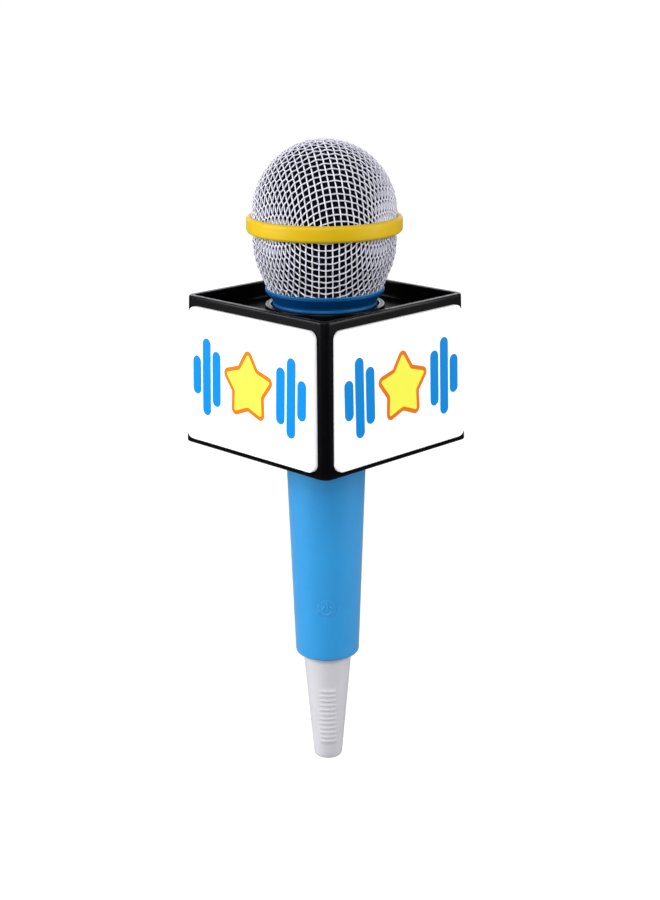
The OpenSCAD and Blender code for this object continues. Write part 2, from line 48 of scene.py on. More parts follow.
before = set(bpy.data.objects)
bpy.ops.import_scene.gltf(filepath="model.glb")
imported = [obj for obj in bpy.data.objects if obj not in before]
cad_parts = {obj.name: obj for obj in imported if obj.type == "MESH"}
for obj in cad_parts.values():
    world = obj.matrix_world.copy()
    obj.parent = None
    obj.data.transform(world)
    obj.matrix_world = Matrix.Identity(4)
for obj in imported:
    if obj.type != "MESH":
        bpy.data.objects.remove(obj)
cad_low, cad_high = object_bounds()

MM = 0.001
SEGMENTS = 192          # facets round a turned piece
CREASE = 35             # degrees beyond which an edge is drawn sharp
SAME = 0.01             # two radii closer than this belong to one surface
THREAD_STEP = 0.22      # rows along a threaded stretch
PLAIN_STEP = 1.8        # rows along any other stretch
SIDES = ("back_right", "back_left", "front_left", "front_right")


def size(node):
    """Lowest and highest corner of a CAD node in millimetres."""
    low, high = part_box(node)
    return low / MM, high / MM


# ---------------------------------------------------------------------------
# Dimensions, from the frame where the frame gives them
# ---------------------------------------------------------------------------

handle_low, handle_high = size("handle_shell")
tail_high = size("tail_shell")[1]
collar_high = size("grille_collar")[1]
band_low, band_high = size("grille_band")
dome_low, dome_high = size("grille_upper")
cup_high = size("grille_lower")[1]
foam_low, foam_high = size("foam_liner")
flag_low, flag_high = size("flag_shell")
base_low, base_high = size("flag_base")
sleeve_low, sleeve_high = size("flag_sleeve")
screw_low = size("flag_screws")[0]
button_low, button_high = size("power_button")

# Handle
seam_z = handle_low.z
handle_top = handle_high.z
handle_top_r = handle_high.x
handle_low_r = 12.0
handle_edge_r = 1.4
slope = (handle_top_r - handle_low_r) / (handle_top - seam_z - handle_edge_r)
plug_top = 52.0
tail_bore_r = 7.5
neck_bore_r = 13.1
neck_bore_z = 163.0
boss_x = 10.0
boss_r = 2.3
boss_low = 146.0
boss_high = 156.0
pilot_r = 0.87          # a hole that a screw cuts its own thread in

# Threads
neck_pitch = 3.4
neck_depth = 0.55
tail_pitch = 2.8
tail_depth = 0.42
tail_bore_depth = 0.385

# Button, turned about an axis that points to the front
button_z = (button_low.z + button_high.z) / 2
button_r = 3.6
button_gap = 0.07
button_axis = Matrix.Translation((0, 0, button_z)) @ Matrix.Rotation(math.radians(90), 4, "X")

# Head
ball_r = dome_high.x
dome_z = dome_high.z - ball_r
band_z = (band_low.z + band_high.z) / 2
band_r = band_high.x
band_half = (band_high.z - band_low.z) / 2
collar_z = handle_top + 0.8
collar_r = collar_high.x

# Lower half of the ball, from its rim down: a straight wall, an arc and a cone
cup_r = cup_high.x
cup_arc_z = 201.0
cup_arc_r = 28.0
cup_cone = 24.0
cup_foot_z = 182.9

# Woven net
mesh_pitch = 2.34
wire_r = 0.25
wire_sides = 8
wire_parts = 4          # stretches of a wire between two crossings
weave = 0.24            # how far a wire swings each side of the mesh's middle
mesh_mid = wire_r + weave
net_end = 0.72 * math.pi

# Flag: its walls lean, so that it is wider at its foot
flag_yaw = 45.0
flag_turn = Matrix.Rotation(math.radians(flag_yaw), 4, "Z")
flag_side = 70.7
flag_wall = 2.2
flag_corner = 3.2
flag_foot = (flag_high.x + flag_corner * (math.sqrt(2) - 1)) * math.sqrt(2)
flag_z = flag_low.z
flag_top = flag_high.z
draft = math.atan((flag_foot - flag_side) / 2 / (flag_top - flag_z))
plate_top = flag_top - 5.9
plate_t = 2.0
base_t = 2.0
ring_r = 21.4
ring_bore = 20.0
ring_top = flag_top - 3.3
lip_bore = 19.4
sleeve_z = sleeve_low.z
post_xy = flag_side / 2 - 5.05

# Faces of the flag
panel_w = 63.3
panel_h = 48.6
panel_t = 1.8
panel_corner = 3.0
panel_z = flag_z + 2.3 + panel_h / 2
peg_x = 24.0
peg_y = 16.0
film_t = 0.15


def handle_r(z):
    return handle_low_r + slope * (z - seam_z - handle_edge_r)


def flag_half(z):
    """Half the width of the flag's box at height z."""
    return flag_side / 2 + (flag_top - z) * math.tan(draft)


def four(x, y):
    """The four places at plus and minus x and y."""
    return [(side_x * x, side_y * y) for side_x in (-1, 1) for side_y in (-1, 1)]


# ---------------------------------------------------------------------------
# Outlines
# ---------------------------------------------------------------------------

def arc(cx, cy, r, start, end, steps=12):
    turns = [math.radians(start + (end - start) * i / steps) for i in range(steps + 1)]
    return [(cx + r * math.cos(t), cy + r * math.sin(t)) for t in turns]


def rounded(points, steps=5):
    """A closed outline with its corners rounded. A point is (x, y) or (x, y, radius)."""
    out = []
    count = len(points)
    for i, p in enumerate(points):
        here = Vector(p[:2])
        if len(p) < 3:
            out.append(tuple(here))
            continue
        back = (Vector(points[i - 1][:2]) - here).normalized()
        ahead = (Vector(points[(i + 1) % count][:2]) - here).normalized()
        half = back.angle(ahead) / 2
        reach = p[2] / math.tan(half)
        centre = here + (back + ahead).normalized() * (p[2] / math.sin(half))
        first = here + back * reach - centre
        turn = first.angle_signed(here + ahead * reach - centre)
        for k in range(steps + 1):
            spoke = first.copy()
            spoke.rotate(Matrix.Rotation(-turn * k / steps, 2))
            out.append(tuple(centre + spoke))
    return out


def spaced(points, step, closed=True):
    """The same outline with points added so that no stretch is longer than step."""
    out = []
    ends = points[1:] + points[:1] if closed else points[1:]
    for a, b in zip(points, ends):
        parts = max(1, math.ceil(math.dist(a, b) / step))
        for k in range(parts):
            out.append((a[0] + (b[0] - a[0]) * k / parts, a[1] + (b[1] - a[1]) * k / parts))
    if not closed:
        out.append(points[-1])
    return out


def with_threads(points, radii):
    """A turned outline with short rows along its upright stretches at the threads' radii."""
    out = []
    for p, q in zip(points, points[1:] + points[:1]):
        threaded = any(abs(p[0] - r) < SAME and abs(q[0] - r) < SAME for r in radii)
        out += spaced([p, q], THREAD_STEP if threaded else PLAIN_STEP, closed=False)[:-1]
    return out


def panel_outline(inset):
    """A face panel's outline, wider at its foot, drawn in by an inset."""
    h = panel_h / 2 - inset
    high = panel_w / 2 + inset * math.tan(draft) - inset / math.cos(draft)
    low = high + 2 * h * math.tan(draft)
    r = panel_corner - inset
    return rounded([(-low, -h, r), (low, -h, r), (high, h, r), (-high, h, r)], 10)


def rounded_rect(w, h, r, steps=8):
    x, y = w / 2 - r, h / 2 - r
    return (
        arc(x, y, r, 0, 90, steps) + arc(-x, y, r, 90, 180, steps)
        + arc(-x, -y, r, 180, 270, steps) + arc(x, -y, r, 270, 360, steps)
    )


# ---------------------------------------------------------------------------
# Meshes
# ---------------------------------------------------------------------------

def lathe(outline, segments=SEGMENTS, shape=None):
    """Turns an outline of (radius, height) about Z. An outline that starts on the axis is open.

    shape(radius, height, angle) may return a changed radius, for threads and ribs."""
    solid = outline[0][0] < 1e-6
    verts, faces, rings = [], [], []
    for r, z in outline:
        if r < 1e-6:
            rings.append([len(verts)] * segments)
            verts.append((0.0, 0.0, z))
            continue
        rings.append(list(range(len(verts), len(verts) + segments)))
        for k in range(segments):
            a = 2 * math.pi * k / segments
            s = shape(r, z, a) if shape else r
            verts.append((s * math.cos(a), s * math.sin(a), z))
    pairs = list(zip(rings, rings[1:] if solid else rings[1:] + rings[:1]))
    for low, high in pairs:
        for k in range(segments):
            n = (k + 1) % segments
            loop = []
            for v in (low[k], low[n], high[n], high[k]):
                if v not in loop:
                    loop.append(v)
            if len(loop) > 2:
                faces.append(loop)
    return verts, faces


def cylinder(r, low, high, segments=SEGMENTS):
    return lathe([(0.0, low), (r, low), (r, high), (0.0, high)], segments)


def skinned(rings, closed=False):
    """A surface over a run of equal rings of points, capped at both ends unless closed."""
    count = len(rings[0])
    verts = [tuple(v) for ring in rings for v in ring]
    last = len(verts) - count
    faces = []
    for low in range(0, len(verts) if closed else last, count):
        high = (low + count) % len(verts)
        for k in range(count):
            n = (k + 1) % count
            faces.append([low + k, low + n, high + n, high + k])
    if not closed:
        faces.append(list(range(count))[::-1])
        faces.append(list(range(last, len(verts))))
    return verts, faces


def loft(outline_at, levels, closed=False):
    """Joins outline_at(inset) at each (inset, height) of levels, and caps the ends unless closed."""
    return skinned([[(x, y, z) for x, y in outline_at(inset)] for inset, z in levels], closed)


def plate(outline_at, low, high, edge_low, edge_high, steps=4):
    """A flat piece between two heights with rounded rims."""
    bottom = arc(edge_low, low + edge_low, edge_low, 270, 180, steps) if edge_low else [(0, low)]
    top = arc(edge_high, high - edge_high, edge_high, 180, 90, steps) if edge_high else [(0, high)]
    return loft(outline_at, bottom + top)


def tube(points, radius, sides):
    """A round rod along 3D points, with a frame that doesn't twist."""
    path = [Vector(p) for p in points]
    side = (path[1] - path[0]).orthogonal()
    turns = [2 * math.pi * k / sides for k in range(sides)]
    rings = []
    for i, p in enumerate(path):
        along = (path[min(i + 1, len(path) - 1)] - path[max(i - 1, 0)]).normalized()
        side = (side - along * side.dot(along)).normalized()
        up = along.cross(side)
        rings.append([p + radius * (math.cos(a) * side + math.sin(a) * up) for a in turns])
    return skinned(rings)


def moved(part, matrix):
    verts, faces = part
    return [tuple(matrix @ Vector(v)) for v in verts], faces


def joined(*parts):
    verts, faces = [], []
    for part_verts, part_faces in parts:
        start = len(verts)
        verts += part_verts
        faces += [[start + i for i in face] for face in part_faces]
    return verts, faces


def smooth(obj, crease):
    obj.data.shade_smooth()
    obj.data.set_sharp_from_angle(angle=math.radians(crease))


def make(name, part, crease=CREASE):
    """A mesh object from vertices in millimetres."""
    verts, faces = part
    mesh = bpy.data.meshes.new(name)
    mesh.from_pydata([(x * MM, y * MM, z * MM) for x, y, z in verts], [], faces)
    edit = bmesh.new()
    edit.from_mesh(mesh)
    bmesh.ops.recalc_face_normals(edit, faces=edit.faces)
    edit.to_mesh(mesh)
    edit.free()
    obj = bpy.data.objects.new(name, mesh)
    bpy.context.scene.collection.objects.link(obj)
    smooth(obj, crease)
    return obj


def carve(obj, parts, operation="DIFFERENCE"):
    """Cuts parts out of obj, or adds them to it, and keeps the result as its mesh."""
    tools = []
    for part in parts:
        tool = make("tool", part)
        cut = obj.modifiers.new("cut", "BOOLEAN")
        cut.operation = operation
        cut.solver = "EXACT"
        cut.object = tool
        tools.append(tool)
    bake(obj)
    for tool in tools:
        bpy.data.objects.remove(tool)
    smooth(obj, CREASE)


def bake(obj):
    """Applies the modifiers of an object."""
    bpy.context.view_layer.update()
    graph = bpy.context.evaluated_depsgraph_get()
    mesh = bpy.data.meshes.new_from_object(obj.evaluated_get(graph))
    obj.modifiers.clear()
    obj.data = mesh


def soften(obj, near, width):
    """Rounds the sharp edges whose ends both pass near(point in millimetres)."""
    mesh = obj.data
    mesh.attributes.new("bevel_weight_edge", "FLOAT", "EDGE")
    edit = bmesh.new()
    edit.from_mesh(mesh)
    layer = edit.edges.layers.float.get("bevel_weight_edge")
    for edge in edit.edges:
        sharp = edge.is_manifold and edge.calc_face_angle(0) > math.radians(25)
        if sharp and all(near(v.co / MM) for v in edge.verts):
            edge[layer] = 1.0
    edit.to_mesh(mesh)
    edit.free()
    bevel = obj.modifiers.new("soften", "BEVEL")
    bevel.limit_method = "WEIGHT"
    bevel.width = width * MM
    bevel.segments = 3
    bake(obj)
    smooth(obj, CREASE)


def place(obj, body, material, slot, *nodes):
    """Paints a piece, puts it on its body and hides the CAD nodes it stands for."""
    obj.data.materials.clear()
    obj.data.materials.append(material)
    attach(obj, body)
    if nodes:
        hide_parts(*nodes)
    return obj


def side_matrix(i):
    """From a flag side's own plane (x along the side, y up, z outwards) to the CAD frame."""
    turn = flag_turn @ Matrix.Rotation(math.radians(90 * i), 4, "Z")
    out = Matrix.Translation((flag_half(panel_z), 0, panel_z)) @ Matrix.Rotation(-draft, 4, "Y")
    face = Matrix(((0, 0, 1, 0), (1, 0, 0, 0), (0, 1, 0, 0), (0, 0, 0, 1)))
    return turn @ out @ face


def leaned(part):
    """Spreads a part drawn with upright walls so that it follows the flag's leaning ones."""
    verts, faces = part
    scales = [flag_half(v[2]) / (flag_side / 2) for v in verts]
    return [(x * k, y * k, z) for k, (x, y, z) in zip(scales, verts)], faces


def thread(z, angle, low, high, pitch):
    """Height of a right-hand thread, 0 in the root and 1 on the crest, running out at both ends."""
    phase = (z / pitch - angle / (2 * math.pi)) % 1.0
    tooth = min(1.0, max(0.0, 0.5 + 1.1 * math.cos(2 * math.pi * phase)))
    run_out = min(1.0, max(0.0, (z - low) / pitch), max(0.0, (high - z) / pitch))
    return tooth * run_out


# ---------------------------------------------------------------------------
# Materials
# ---------------------------------------------------------------------------

def srgb(r, g, b):
    """A display colour, 0 to 255, as linear values."""
    values = [c / 255 for c in (r, g, b)]
    return tuple(c / 12.92 if c <= 0.04045 else ((c + 0.055) / 1.055) ** 2.4 for c in values)


class Paint:
    """A node material under construction. Noise scales are features per millimetre."""

    def __init__(self, name, colour, roughness=0.4, metallic=0.0):
        self.material = bpy.data.materials.new(name)
        self.material.use_nodes = True
        self.material.diffuse_color = (*colour, 1)
        self.tree = self.material.node_tree
        self.shader = self.tree.nodes["Principled BSDF"]
        self.colour = self.value((*colour, 1))
        self.shader.inputs["Base Color"].default_value = (*colour, 1)
        self.shader.inputs["Roughness"].default_value = roughness
        self.shader.inputs["Metallic"].default_value = metallic
        self.coords = self.tree.nodes.new("ShaderNodeTexCoord").outputs["Object"]

    def value(self, colour):
        node = self.tree.nodes.new("ShaderNodeRGB")
        node.outputs[0].default_value = colour
        return node.outputs[0]

    def link(self, source, target):
        self.tree.links.new(source, target)

    def noise(self, scale, detail=3.0):
        node = self.tree.nodes.new("ShaderNodeTexNoise")
        node.inputs["Scale"].default_value = scale / MM
        node.inputs["Detail"].default_value = detail
        self.link(self.coords, node.inputs["Vector"])
        return node.outputs["Fac"]

    def cells(self, scale):
        node = self.tree.nodes.new("ShaderNodeTexVoronoi")
        node.inputs["Scale"].default_value = scale / MM
        self.link(self.coords, node.inputs["Vector"])
        return node.outputs["Distance"]

    def span(self, source, from_low, from_high, to_low=0.0, to_high=1.0):
        """Maps a socket from one range to another, held at both ends."""
        node = self.tree.nodes.new("ShaderNodeMapRange")
        node.inputs["From Min"].default_value = from_low
        node.inputs["From Max"].default_value = from_high
        node.inputs["To Min"].default_value = to_low
        node.inputs["To Max"].default_value = to_high
        self.link(source, node.inputs["Value"])
        return node.outputs["Result"]

    def sums(self, operation, a, b=0.0):
        """One step of arithmetic on sockets or numbers."""
        node = self.tree.nodes.new("ShaderNodeMath")
        node.operation = operation
        for socket, item in zip(node.inputs, (a, b)):
            if isinstance(item, (int, float)):
                socket.default_value = item
            else:
                self.link(item, socket)
        return node.outputs[0]

    def axis(self, index):
        """Object position along X, Y or Z, in millimetres."""
        node = self.tree.nodes.new("ShaderNodeSeparateXYZ")
        self.link(self.coords, node.inputs[0])
        return self.sums("DIVIDE", node.outputs[index], MM)

    def tint(self, share, colour):
        """Mixes colour into the base colour by a 0 to 1 socket."""
        node = self.tree.nodes.new("ShaderNodeMix")
        node.data_type = "RGBA"
        self.link(share, node.inputs["Factor"])
        self.link(self.colour, node.inputs[6])
        node.inputs[7].default_value = (*colour, 1)
        self.colour = node.outputs[2]

    def edges(self, radius):
        """1 on convex and concave edges within radius millimetres, 0 on flat ground."""
        bevel = self.tree.nodes.new("ShaderNodeBevel")
        bevel.samples = 4
        bevel.inputs["Radius"].default_value = radius * MM
        normal = self.tree.nodes.new("ShaderNodeNewGeometry").outputs["Normal"]
        dot = self.tree.nodes.new("ShaderNodeVectorMath")
        dot.operation = "DOT_PRODUCT"
        self.link(bevel.outputs[0], dot.inputs[0])
        self.link(normal, dot.inputs[1])
        return self.span(dot.outputs["Value"], 0.995, 0.85)

    def shine(self, level):
        self.shader.inputs["Specular IOR Level"].default_value = level

    def rough(self, source, low, high):
        self.link(self.span(source, 0.3, 0.7, low, high), self.shader.inputs["Roughness"])

    def bump(self, source, depth):
        """Height in millimetres. Later bumps add to earlier ones."""
        node = self.tree.nodes.new("ShaderNodeBump")
        node.inputs["Strength"].default_value = 1.0
        node.inputs["Distance"].default_value = depth * MM
        self.link(source, node.inputs["Height"])
        normal = self.shader.inputs["Normal"]
        if normal.is_linked:
            self.link(normal.links[0].from_socket, node.inputs["Normal"])
        self.link(node.outputs[0], normal)

    def done(self):
        self.link(self.colour, self.shader.inputs["Base Color"])
        return self.material


def moulded(name, colour, roughness, wear_and_highlight_share=0.35, edge_wear_and_highlight=None, edge=0.5, shine=0.5, haze=0.0, rim=None,
            polish=0.0):
    """Injection-moulded plastic: faint flow clouds, orange peel, and edges tinted to a paler colour in
    patches, which is scuffing and, where that colour is set bright, also a painted highlight.

    rim is a paler colour painted where the plastic turns over an edge, a painted highlight, and polish the
    gloss it has there."""
    peel = 0.004
    paint = Paint(name, colour, roughness)
    # Painted highlight: a paler colour where the plastic turns over an edge.
    if rim:
        paint.tint(paint.edges(0.7), rim)
    darker = tuple(c * 0.86 for c in colour)
    paint.tint(paint.span(paint.noise(0.05, 4.0), 0.42, 0.72, 0.0, 0.5), darker)
    # Patchy paler tint on the edges: scuffing, and where the edge colour is set bright, a painted
    # highlight along the edges.
    worn_and_lit_edges = paint.sums("MULTIPLY", paint.edges(edge), paint.span(paint.noise(0.8), 0.4, 0.65))
    paint.tint(
        paint.sums("MULTIPLY", worn_and_lit_edges, wear_and_highlight_share),
        edge_wear_and_highlight or tuple(min(1.0, c * 1.5 + 0.06) for c in colour),
    )
    paint.rough(paint.noise(0.35, 5.0), roughness - 0.06, roughness + 0.08)
    paint.bump(paint.noise(0.9, 2.0), peel)
    paint.bump(paint.noise(9.0, 2.0), peel * 0.25)
    paint.shine(shine)
    if polish:
        paint.link(paint.sums("MULTIPLY", paint.edges(1.6), polish), paint.shader.inputs["Coat Weight"])
        paint.shader.inputs["Coat Roughness"].default_value = 0.15
    paint.shader.inputs["Sheen Weight"].default_value = haze
    paint.shader.inputs["Sheen Roughness"].default_value = 0.4
    return paint.done()


def painted_wire():
    paint = Paint("painted_wire", srgb(226, 225, 238), 0.45)
    paint.tint(paint.span(paint.noise(0.12, 3.0), 0.45, 0.75, 0.0, 0.5), srgb(204, 203, 219))
    paint.tint(paint.span(paint.noise(2.2, 4.0), 0.60, 0.74, 0.0, 0.5), srgb(176, 176, 194))
    paint.rough(paint.noise(1.1, 4.0), 0.38, 0.54)
    paint.bump(paint.noise(5.0, 3.0), 0.008)
    return paint.done()


def foam():
    paint = Paint("foam", srgb(12, 12, 17), 0.95)
    paint.shine(0.08)
    pores = paint.cells(1.4)
    # Painted shade: the pore hollows are darkened.
    paint.tint(paint.span(pores, 0.05, 0.45, 0.8, 0.0), srgb(3, 3, 4))
    paint.bump(pores, 0.35)
    paint.bump(paint.noise(4.0), 0.08)
    return paint.done()


def glowing_face_white(name, colour):
    """The white of the face plates and of their films, with a faint white glow painted on so that they
    read as paper white.
    """
    paint = Paint(name, colour, 0.28)
    # Painted glow: a faint white emission, though the plates and films are no lamp.
    paint.shader.inputs["Emission Color"].default_value = (1, 1, 1, 1)
    paint.shader.inputs["Emission Strength"].default_value = 0.2
    paint.tint(paint.span(paint.noise(0.03, 3.0), 0.5, 0.8, 0.0, 0.35), srgb(243, 244, 247))
    paint.rough(paint.noise(0.25, 4.0), 0.24, 0.36)
    return paint.done()


def ink(name, colour):
    paint = Paint(name, colour, 0.32)
    paint.shine(0.2)
    paint.tint(paint.span(paint.noise(6.0, 2.0), 0.5, 0.8, 0.0, 0.18), tuple(c * 0.8 for c in colour))
    paint.rough(paint.noise(1.5, 3.0), 0.28, 0.4)
    paint.bump(paint.noise(3.0, 2.0), 0.003)
    return paint.done()


def rubber():
    paint = Paint("rubber", srgb(24, 24, 26), 0.75)
    paint.tint(paint.span(paint.noise(0.4), 0.45, 0.7, 0.0, 0.5), srgb(38, 38, 40))
    paint.rough(paint.noise(1.2), 0.68, 0.85)
    paint.bump(paint.noise(3.0, 4.0), 0.02)
    return paint.done()


def metal(name, colour, roughness):
    paint = Paint(name, colour, roughness, 1.0)
    grain = paint.noise(2.5, 5.0)
    paint.tint(paint.span(paint.noise(0.3, 4.0), 0.45, 0.75, 0.0, 0.5), tuple(c * 0.7 for c in colour))
    paint.rough(grain, roughness - 0.08, roughness + 0.12)
    paint.bump(grain, 0.004)
    return paint.done()


def circuit():
    """Green solder mask over copper tracks, with tinned pads."""
    paint = Paint("solder_mask", srgb(16, 92, 44), 0.35)
    wave = paint.sums("FRACT", paint.sums("MULTIPLY", paint.axis(0), 0.8))
    bend = paint.span(paint.noise(0.16, 0.0), 0.46, 0.5)
    track = paint.sums("MULTIPLY", paint.span(wave, 0.52, 0.56), bend)
    paint.tint(paint.sums("MULTIPLY", track, 0.6), srgb(60, 150, 74))
    pads = paint.span(paint.cells(0.35), 0.16, 0.12)
    paint.tint(pads, srgb(196, 190, 160))
    paint.bump(track, 0.02)
    paint.bump(pads, 0.04)
    paint.rough(paint.noise(0.8), 0.28, 0.45)
    return paint.done()


def chip_resin():
    """Black resin. The amplifier's legs, out past its body, are tinned."""
    body_half = 2.5
    leg_low, leg_high = 90, 100
    paint = Paint("chip_resin", srgb(20, 20, 22), 0.5)
    legs = paint.span(paint.sums("ABSOLUTE", paint.axis(0)), body_half, body_half + 0.02)
    above = paint.span(paint.axis(2), leg_low, leg_low + 0.1)
    below = paint.span(paint.axis(2), leg_high, leg_high - 0.1)
    paint.tint(paint.sums("MULTIPLY", legs, paint.sums("MULTIPLY", above, below)), srgb(190, 190, 188))
    paint.rough(paint.noise(0.9), 0.38, 0.62)
    paint.bump(paint.noise(1.4, 4.0), 0.03)
    return paint.done()


def battery_wrap():
    """A plain printed sleeve, a gold band near the positive end of each cell, and bare metal ends."""
    bare = srgb(196, 198, 202)
    paint = Paint("battery_wrap", srgb(34, 96, 58), 0.28, 0.35)
    low, high = size("battery_lower")
    height = paint.sums("SUBTRACT", paint.axis(2), low.z)
    along = paint.sums("FRACT", paint.sums("DIVIDE", height, high.z - low.z))
    paint.tint(paint.span(along, 0.72, 0.725), srgb(206, 160, 62))
    paint.tint(paint.span(along, 0.955, 0.96), bare)
    paint.tint(paint.span(along, 0.025, 0.02), bare)
    paint.rough(paint.noise(0.5), 0.22, 0.38)
    paint.bump(paint.noise(0.7), 0.01)
    return paint.done()


def cone_film():
    paint = Paint("cone_film", srgb(30, 30, 33), 0.55)
    paint.tint(paint.span(paint.noise(2.0, 5.0), 0.45, 0.7, 0.0, 0.7), srgb(50, 50, 54))
    paint.bump(paint.noise(3.5, 4.0), 0.03)
    return paint.done()


def sleeve_pair(name, first, second, axis):
    """Wire insulation: one colour below the middle of an axis, another above."""
    paint = Paint(name, first, 0.42)
    paint.tint(paint.span(paint.axis(axis), -0.01, 0.01), second)
    paint.rough(paint.noise(1.5), 0.35, 0.5)
    paint.bump(paint.noise(2.5), 0.01)
    return paint.done()


red = srgb(150, 18, 20)
dark = srgb(24, 24, 26)
looks = {
    "handle": moulded("blue_handle", srgb(24, 152, 222), 0.5, shine=0.8, haze=0.5),
    # The collar's deep blue is partly its plastic's own colour and partly painted shade from the ball and
    # the flag round it; its rim colour is a painted highlight on its edges.
    "collar": moulded("blue_collar", srgb(2, 64, 122), 0.42, shine=0.15, rim=srgb(50, 184, 242)),
    "tail": moulded("white_tail", srgb(214, 213, 219), 0.45, edge_wear_and_highlight=srgb(246, 246, 248)),
    # The black plastic's paler edge colour is partly scuffing and partly a painted highlight along the
    # flag's rims and the ring round the collar.
    "black": moulded(
        "black_plastic", srgb(5, 4, 7), 0.4, wear_and_highlight_share=0.6, edge_wear_and_highlight=srgb(56, 56, 60), edge=0.25, shine=0.05,
        polish=1.0,
    ),
    "panel": glowing_face_white("white_panel", srgb(249, 249, 251)),
    # The band's pale edge colour is partly scuffing and partly a painted highlight.
    "yellow": moulded(
        "yellow_band", srgb(214, 178, 2), 0.45, edge_wear_and_highlight=srgb(236, 216, 100), shine=0.25, haze=0.1,
    ),
    "inner": moulded("inner_plastic", srgb(52, 53, 57), 0.5),
    "switch": moulded("switch_plastic", srgb(226, 224, 214), 0.45),
    "wire": painted_wire(),
    "foam": foam(),
    "film": glowing_face_white("printed_film", srgb(252, 252, 253)),
    "ink_blue": ink("ink_blue", srgb(0, 138, 220)),
    "ink_yellow": ink("ink_yellow", srgb(252, 250, 84)),
    "ink_orange": ink("ink_orange", srgb(236, 120, 22)),
    "rubber": rubber(),
    "silicone": moulded("white_silicone", srgb(212, 212, 216), 0.6),
    "can": metal("can_metal", srgb(198, 200, 204), 0.32),
    "contact": metal("contact_metal", srgb(206, 198, 176), 0.28),
    "steel": metal("zinc_steel", srgb(188, 190, 194), 0.34),
    "board": circuit(),
    "resin": chip_resin(),
    "battery": battery_wrap(),
    "cone": cone_film(),
    "battery_wires": sleeve_pair("battery_wire_sleeve", red, dark, 1),
    "speaker_wires": sleeve_pair("speaker_wire_sleeve", red, dark, 0),
    "capsule_wires": sleeve_pair("capsule_wire_sleeve", srgb(230, 230, 226), srgb(214, 168, 40), 0),
}

# CAD nodes that stay as they are, and what each is made of
kept_nodes = {
    "inner": ("chassis", "speaker_cradle", "capsule_bridge"),
    "board": ("circuit_board",),
    "resin": ("sound_chip", "amplifier_chip", "switch_body"),
    "can": ("capacitors", "mic_capsule", "speaker_frame"),
    "contact": ("positive_contact", "negative_contact", "spring_cup"),
    "steel": ("chassis_screws", "battery_spring", "speaker_magnet"),
    "cone": ("speaker_cone",),
    "battery": ("battery_lower", "battery_upper"),
    "rubber": ("head_gasket", "capsule_boot"),
    "silicone": ("tail_seal",),
    "switch": ("switch_plunger",),
    "battery_wires": ("battery_wires",),
    "speaker_wires": ("speaker_wires",),
    "capsule_wires": ("capsule_wires",),
}


def paint_kept_nodes():
    for look, names in kept_nodes.items():
        for name in names:
            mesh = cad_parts[name].data
            mesh.materials.clear()
            mesh.materials.append(looks[look])


# ---------------------------------------------------------------------------
# Handle, button and tail
# ---------------------------------------------------------------------------

def build_handle():
    """The tapered shell, threaded at both ends, with two screw bosses and the button's hole."""
    cavity_top_r = 13.0
    cavity_low_r = 10.5

    def shape(r, z, a):
        if abs(r - neck_bore_r) < SAME and z > neck_bore_z + 0.1:
            return r + neck_depth * thread(z, a, neck_bore_z + 1, handle_top - 1, neck_pitch)
        if abs(r - tail_bore_r) < SAME and z < plug_top:
            return r + tail_bore_depth * thread(z, a, seam_z + 0.8, plug_top - 0.6, tail_pitch)
        return r

    foot = arc(handle_low_r - handle_edge_r, seam_z + handle_edge_r, handle_edge_r, -90, 0, 10)
    outline = rounded([
        (tail_bore_r, seam_z, 0.35), (foot[0][0] - 0.5, seam_z), *foot,
        (handle_top_r, handle_top, 0.4), (neck_bore_r, handle_top, 0.5),
        (neck_bore_r, neck_bore_z, 0.2), (cavity_top_r, neck_bore_z - 0.2),
        (cavity_low_r, plug_top, 0.6), (tail_bore_r, plug_top, 0.4),
    ])
    obj = make("handle_body", lathe(with_threads(outline, (neck_bore_r, tail_bore_r)), SEGMENTS, shape))

    boss = lathe(rounded([
        (0.0, boss_low), (boss_r, boss_low, 0.6), (boss_r, boss_high, 0.25), (0.0, boss_high),
    ]), 32)
    pilot = cylinder(pilot_r, boss_low - 1, boss_high + 1, 24)
    spots = [Matrix.Translation((x, 0, 0)) for x in (-boss_x, boss_x)]
    carve(obj, [moved(boss, spot) for spot in spots], "UNION")

    hole_r = button_r + button_gap
    pocket = cylinder(5.3, 4.0, 10.75, 96)
    hole = cylinder(hole_r, 5.0, 20.0, 96)
    cuts = [moved(part, button_axis) for part in (pocket, hole)]
    carve(obj, cuts + [moved(pilot, spot) for spot in spots])
    skin_y = -11.2

    def at_hole(p):
        return p.y < skin_y and abs(math.hypot(p.x, p.z - button_z) - hole_r) < 0.02

    soften(obj, at_hole, 0.1)
    place(obj, "handle", looks["handle"], "blue_plastic", "handle_shell")


def on_handle(x, z, proud):
    """A point on the front of the handle, stood out by proud."""
    r = handle_r(z) + proud
    return (x, -math.sqrt(r * r - x * x), z)


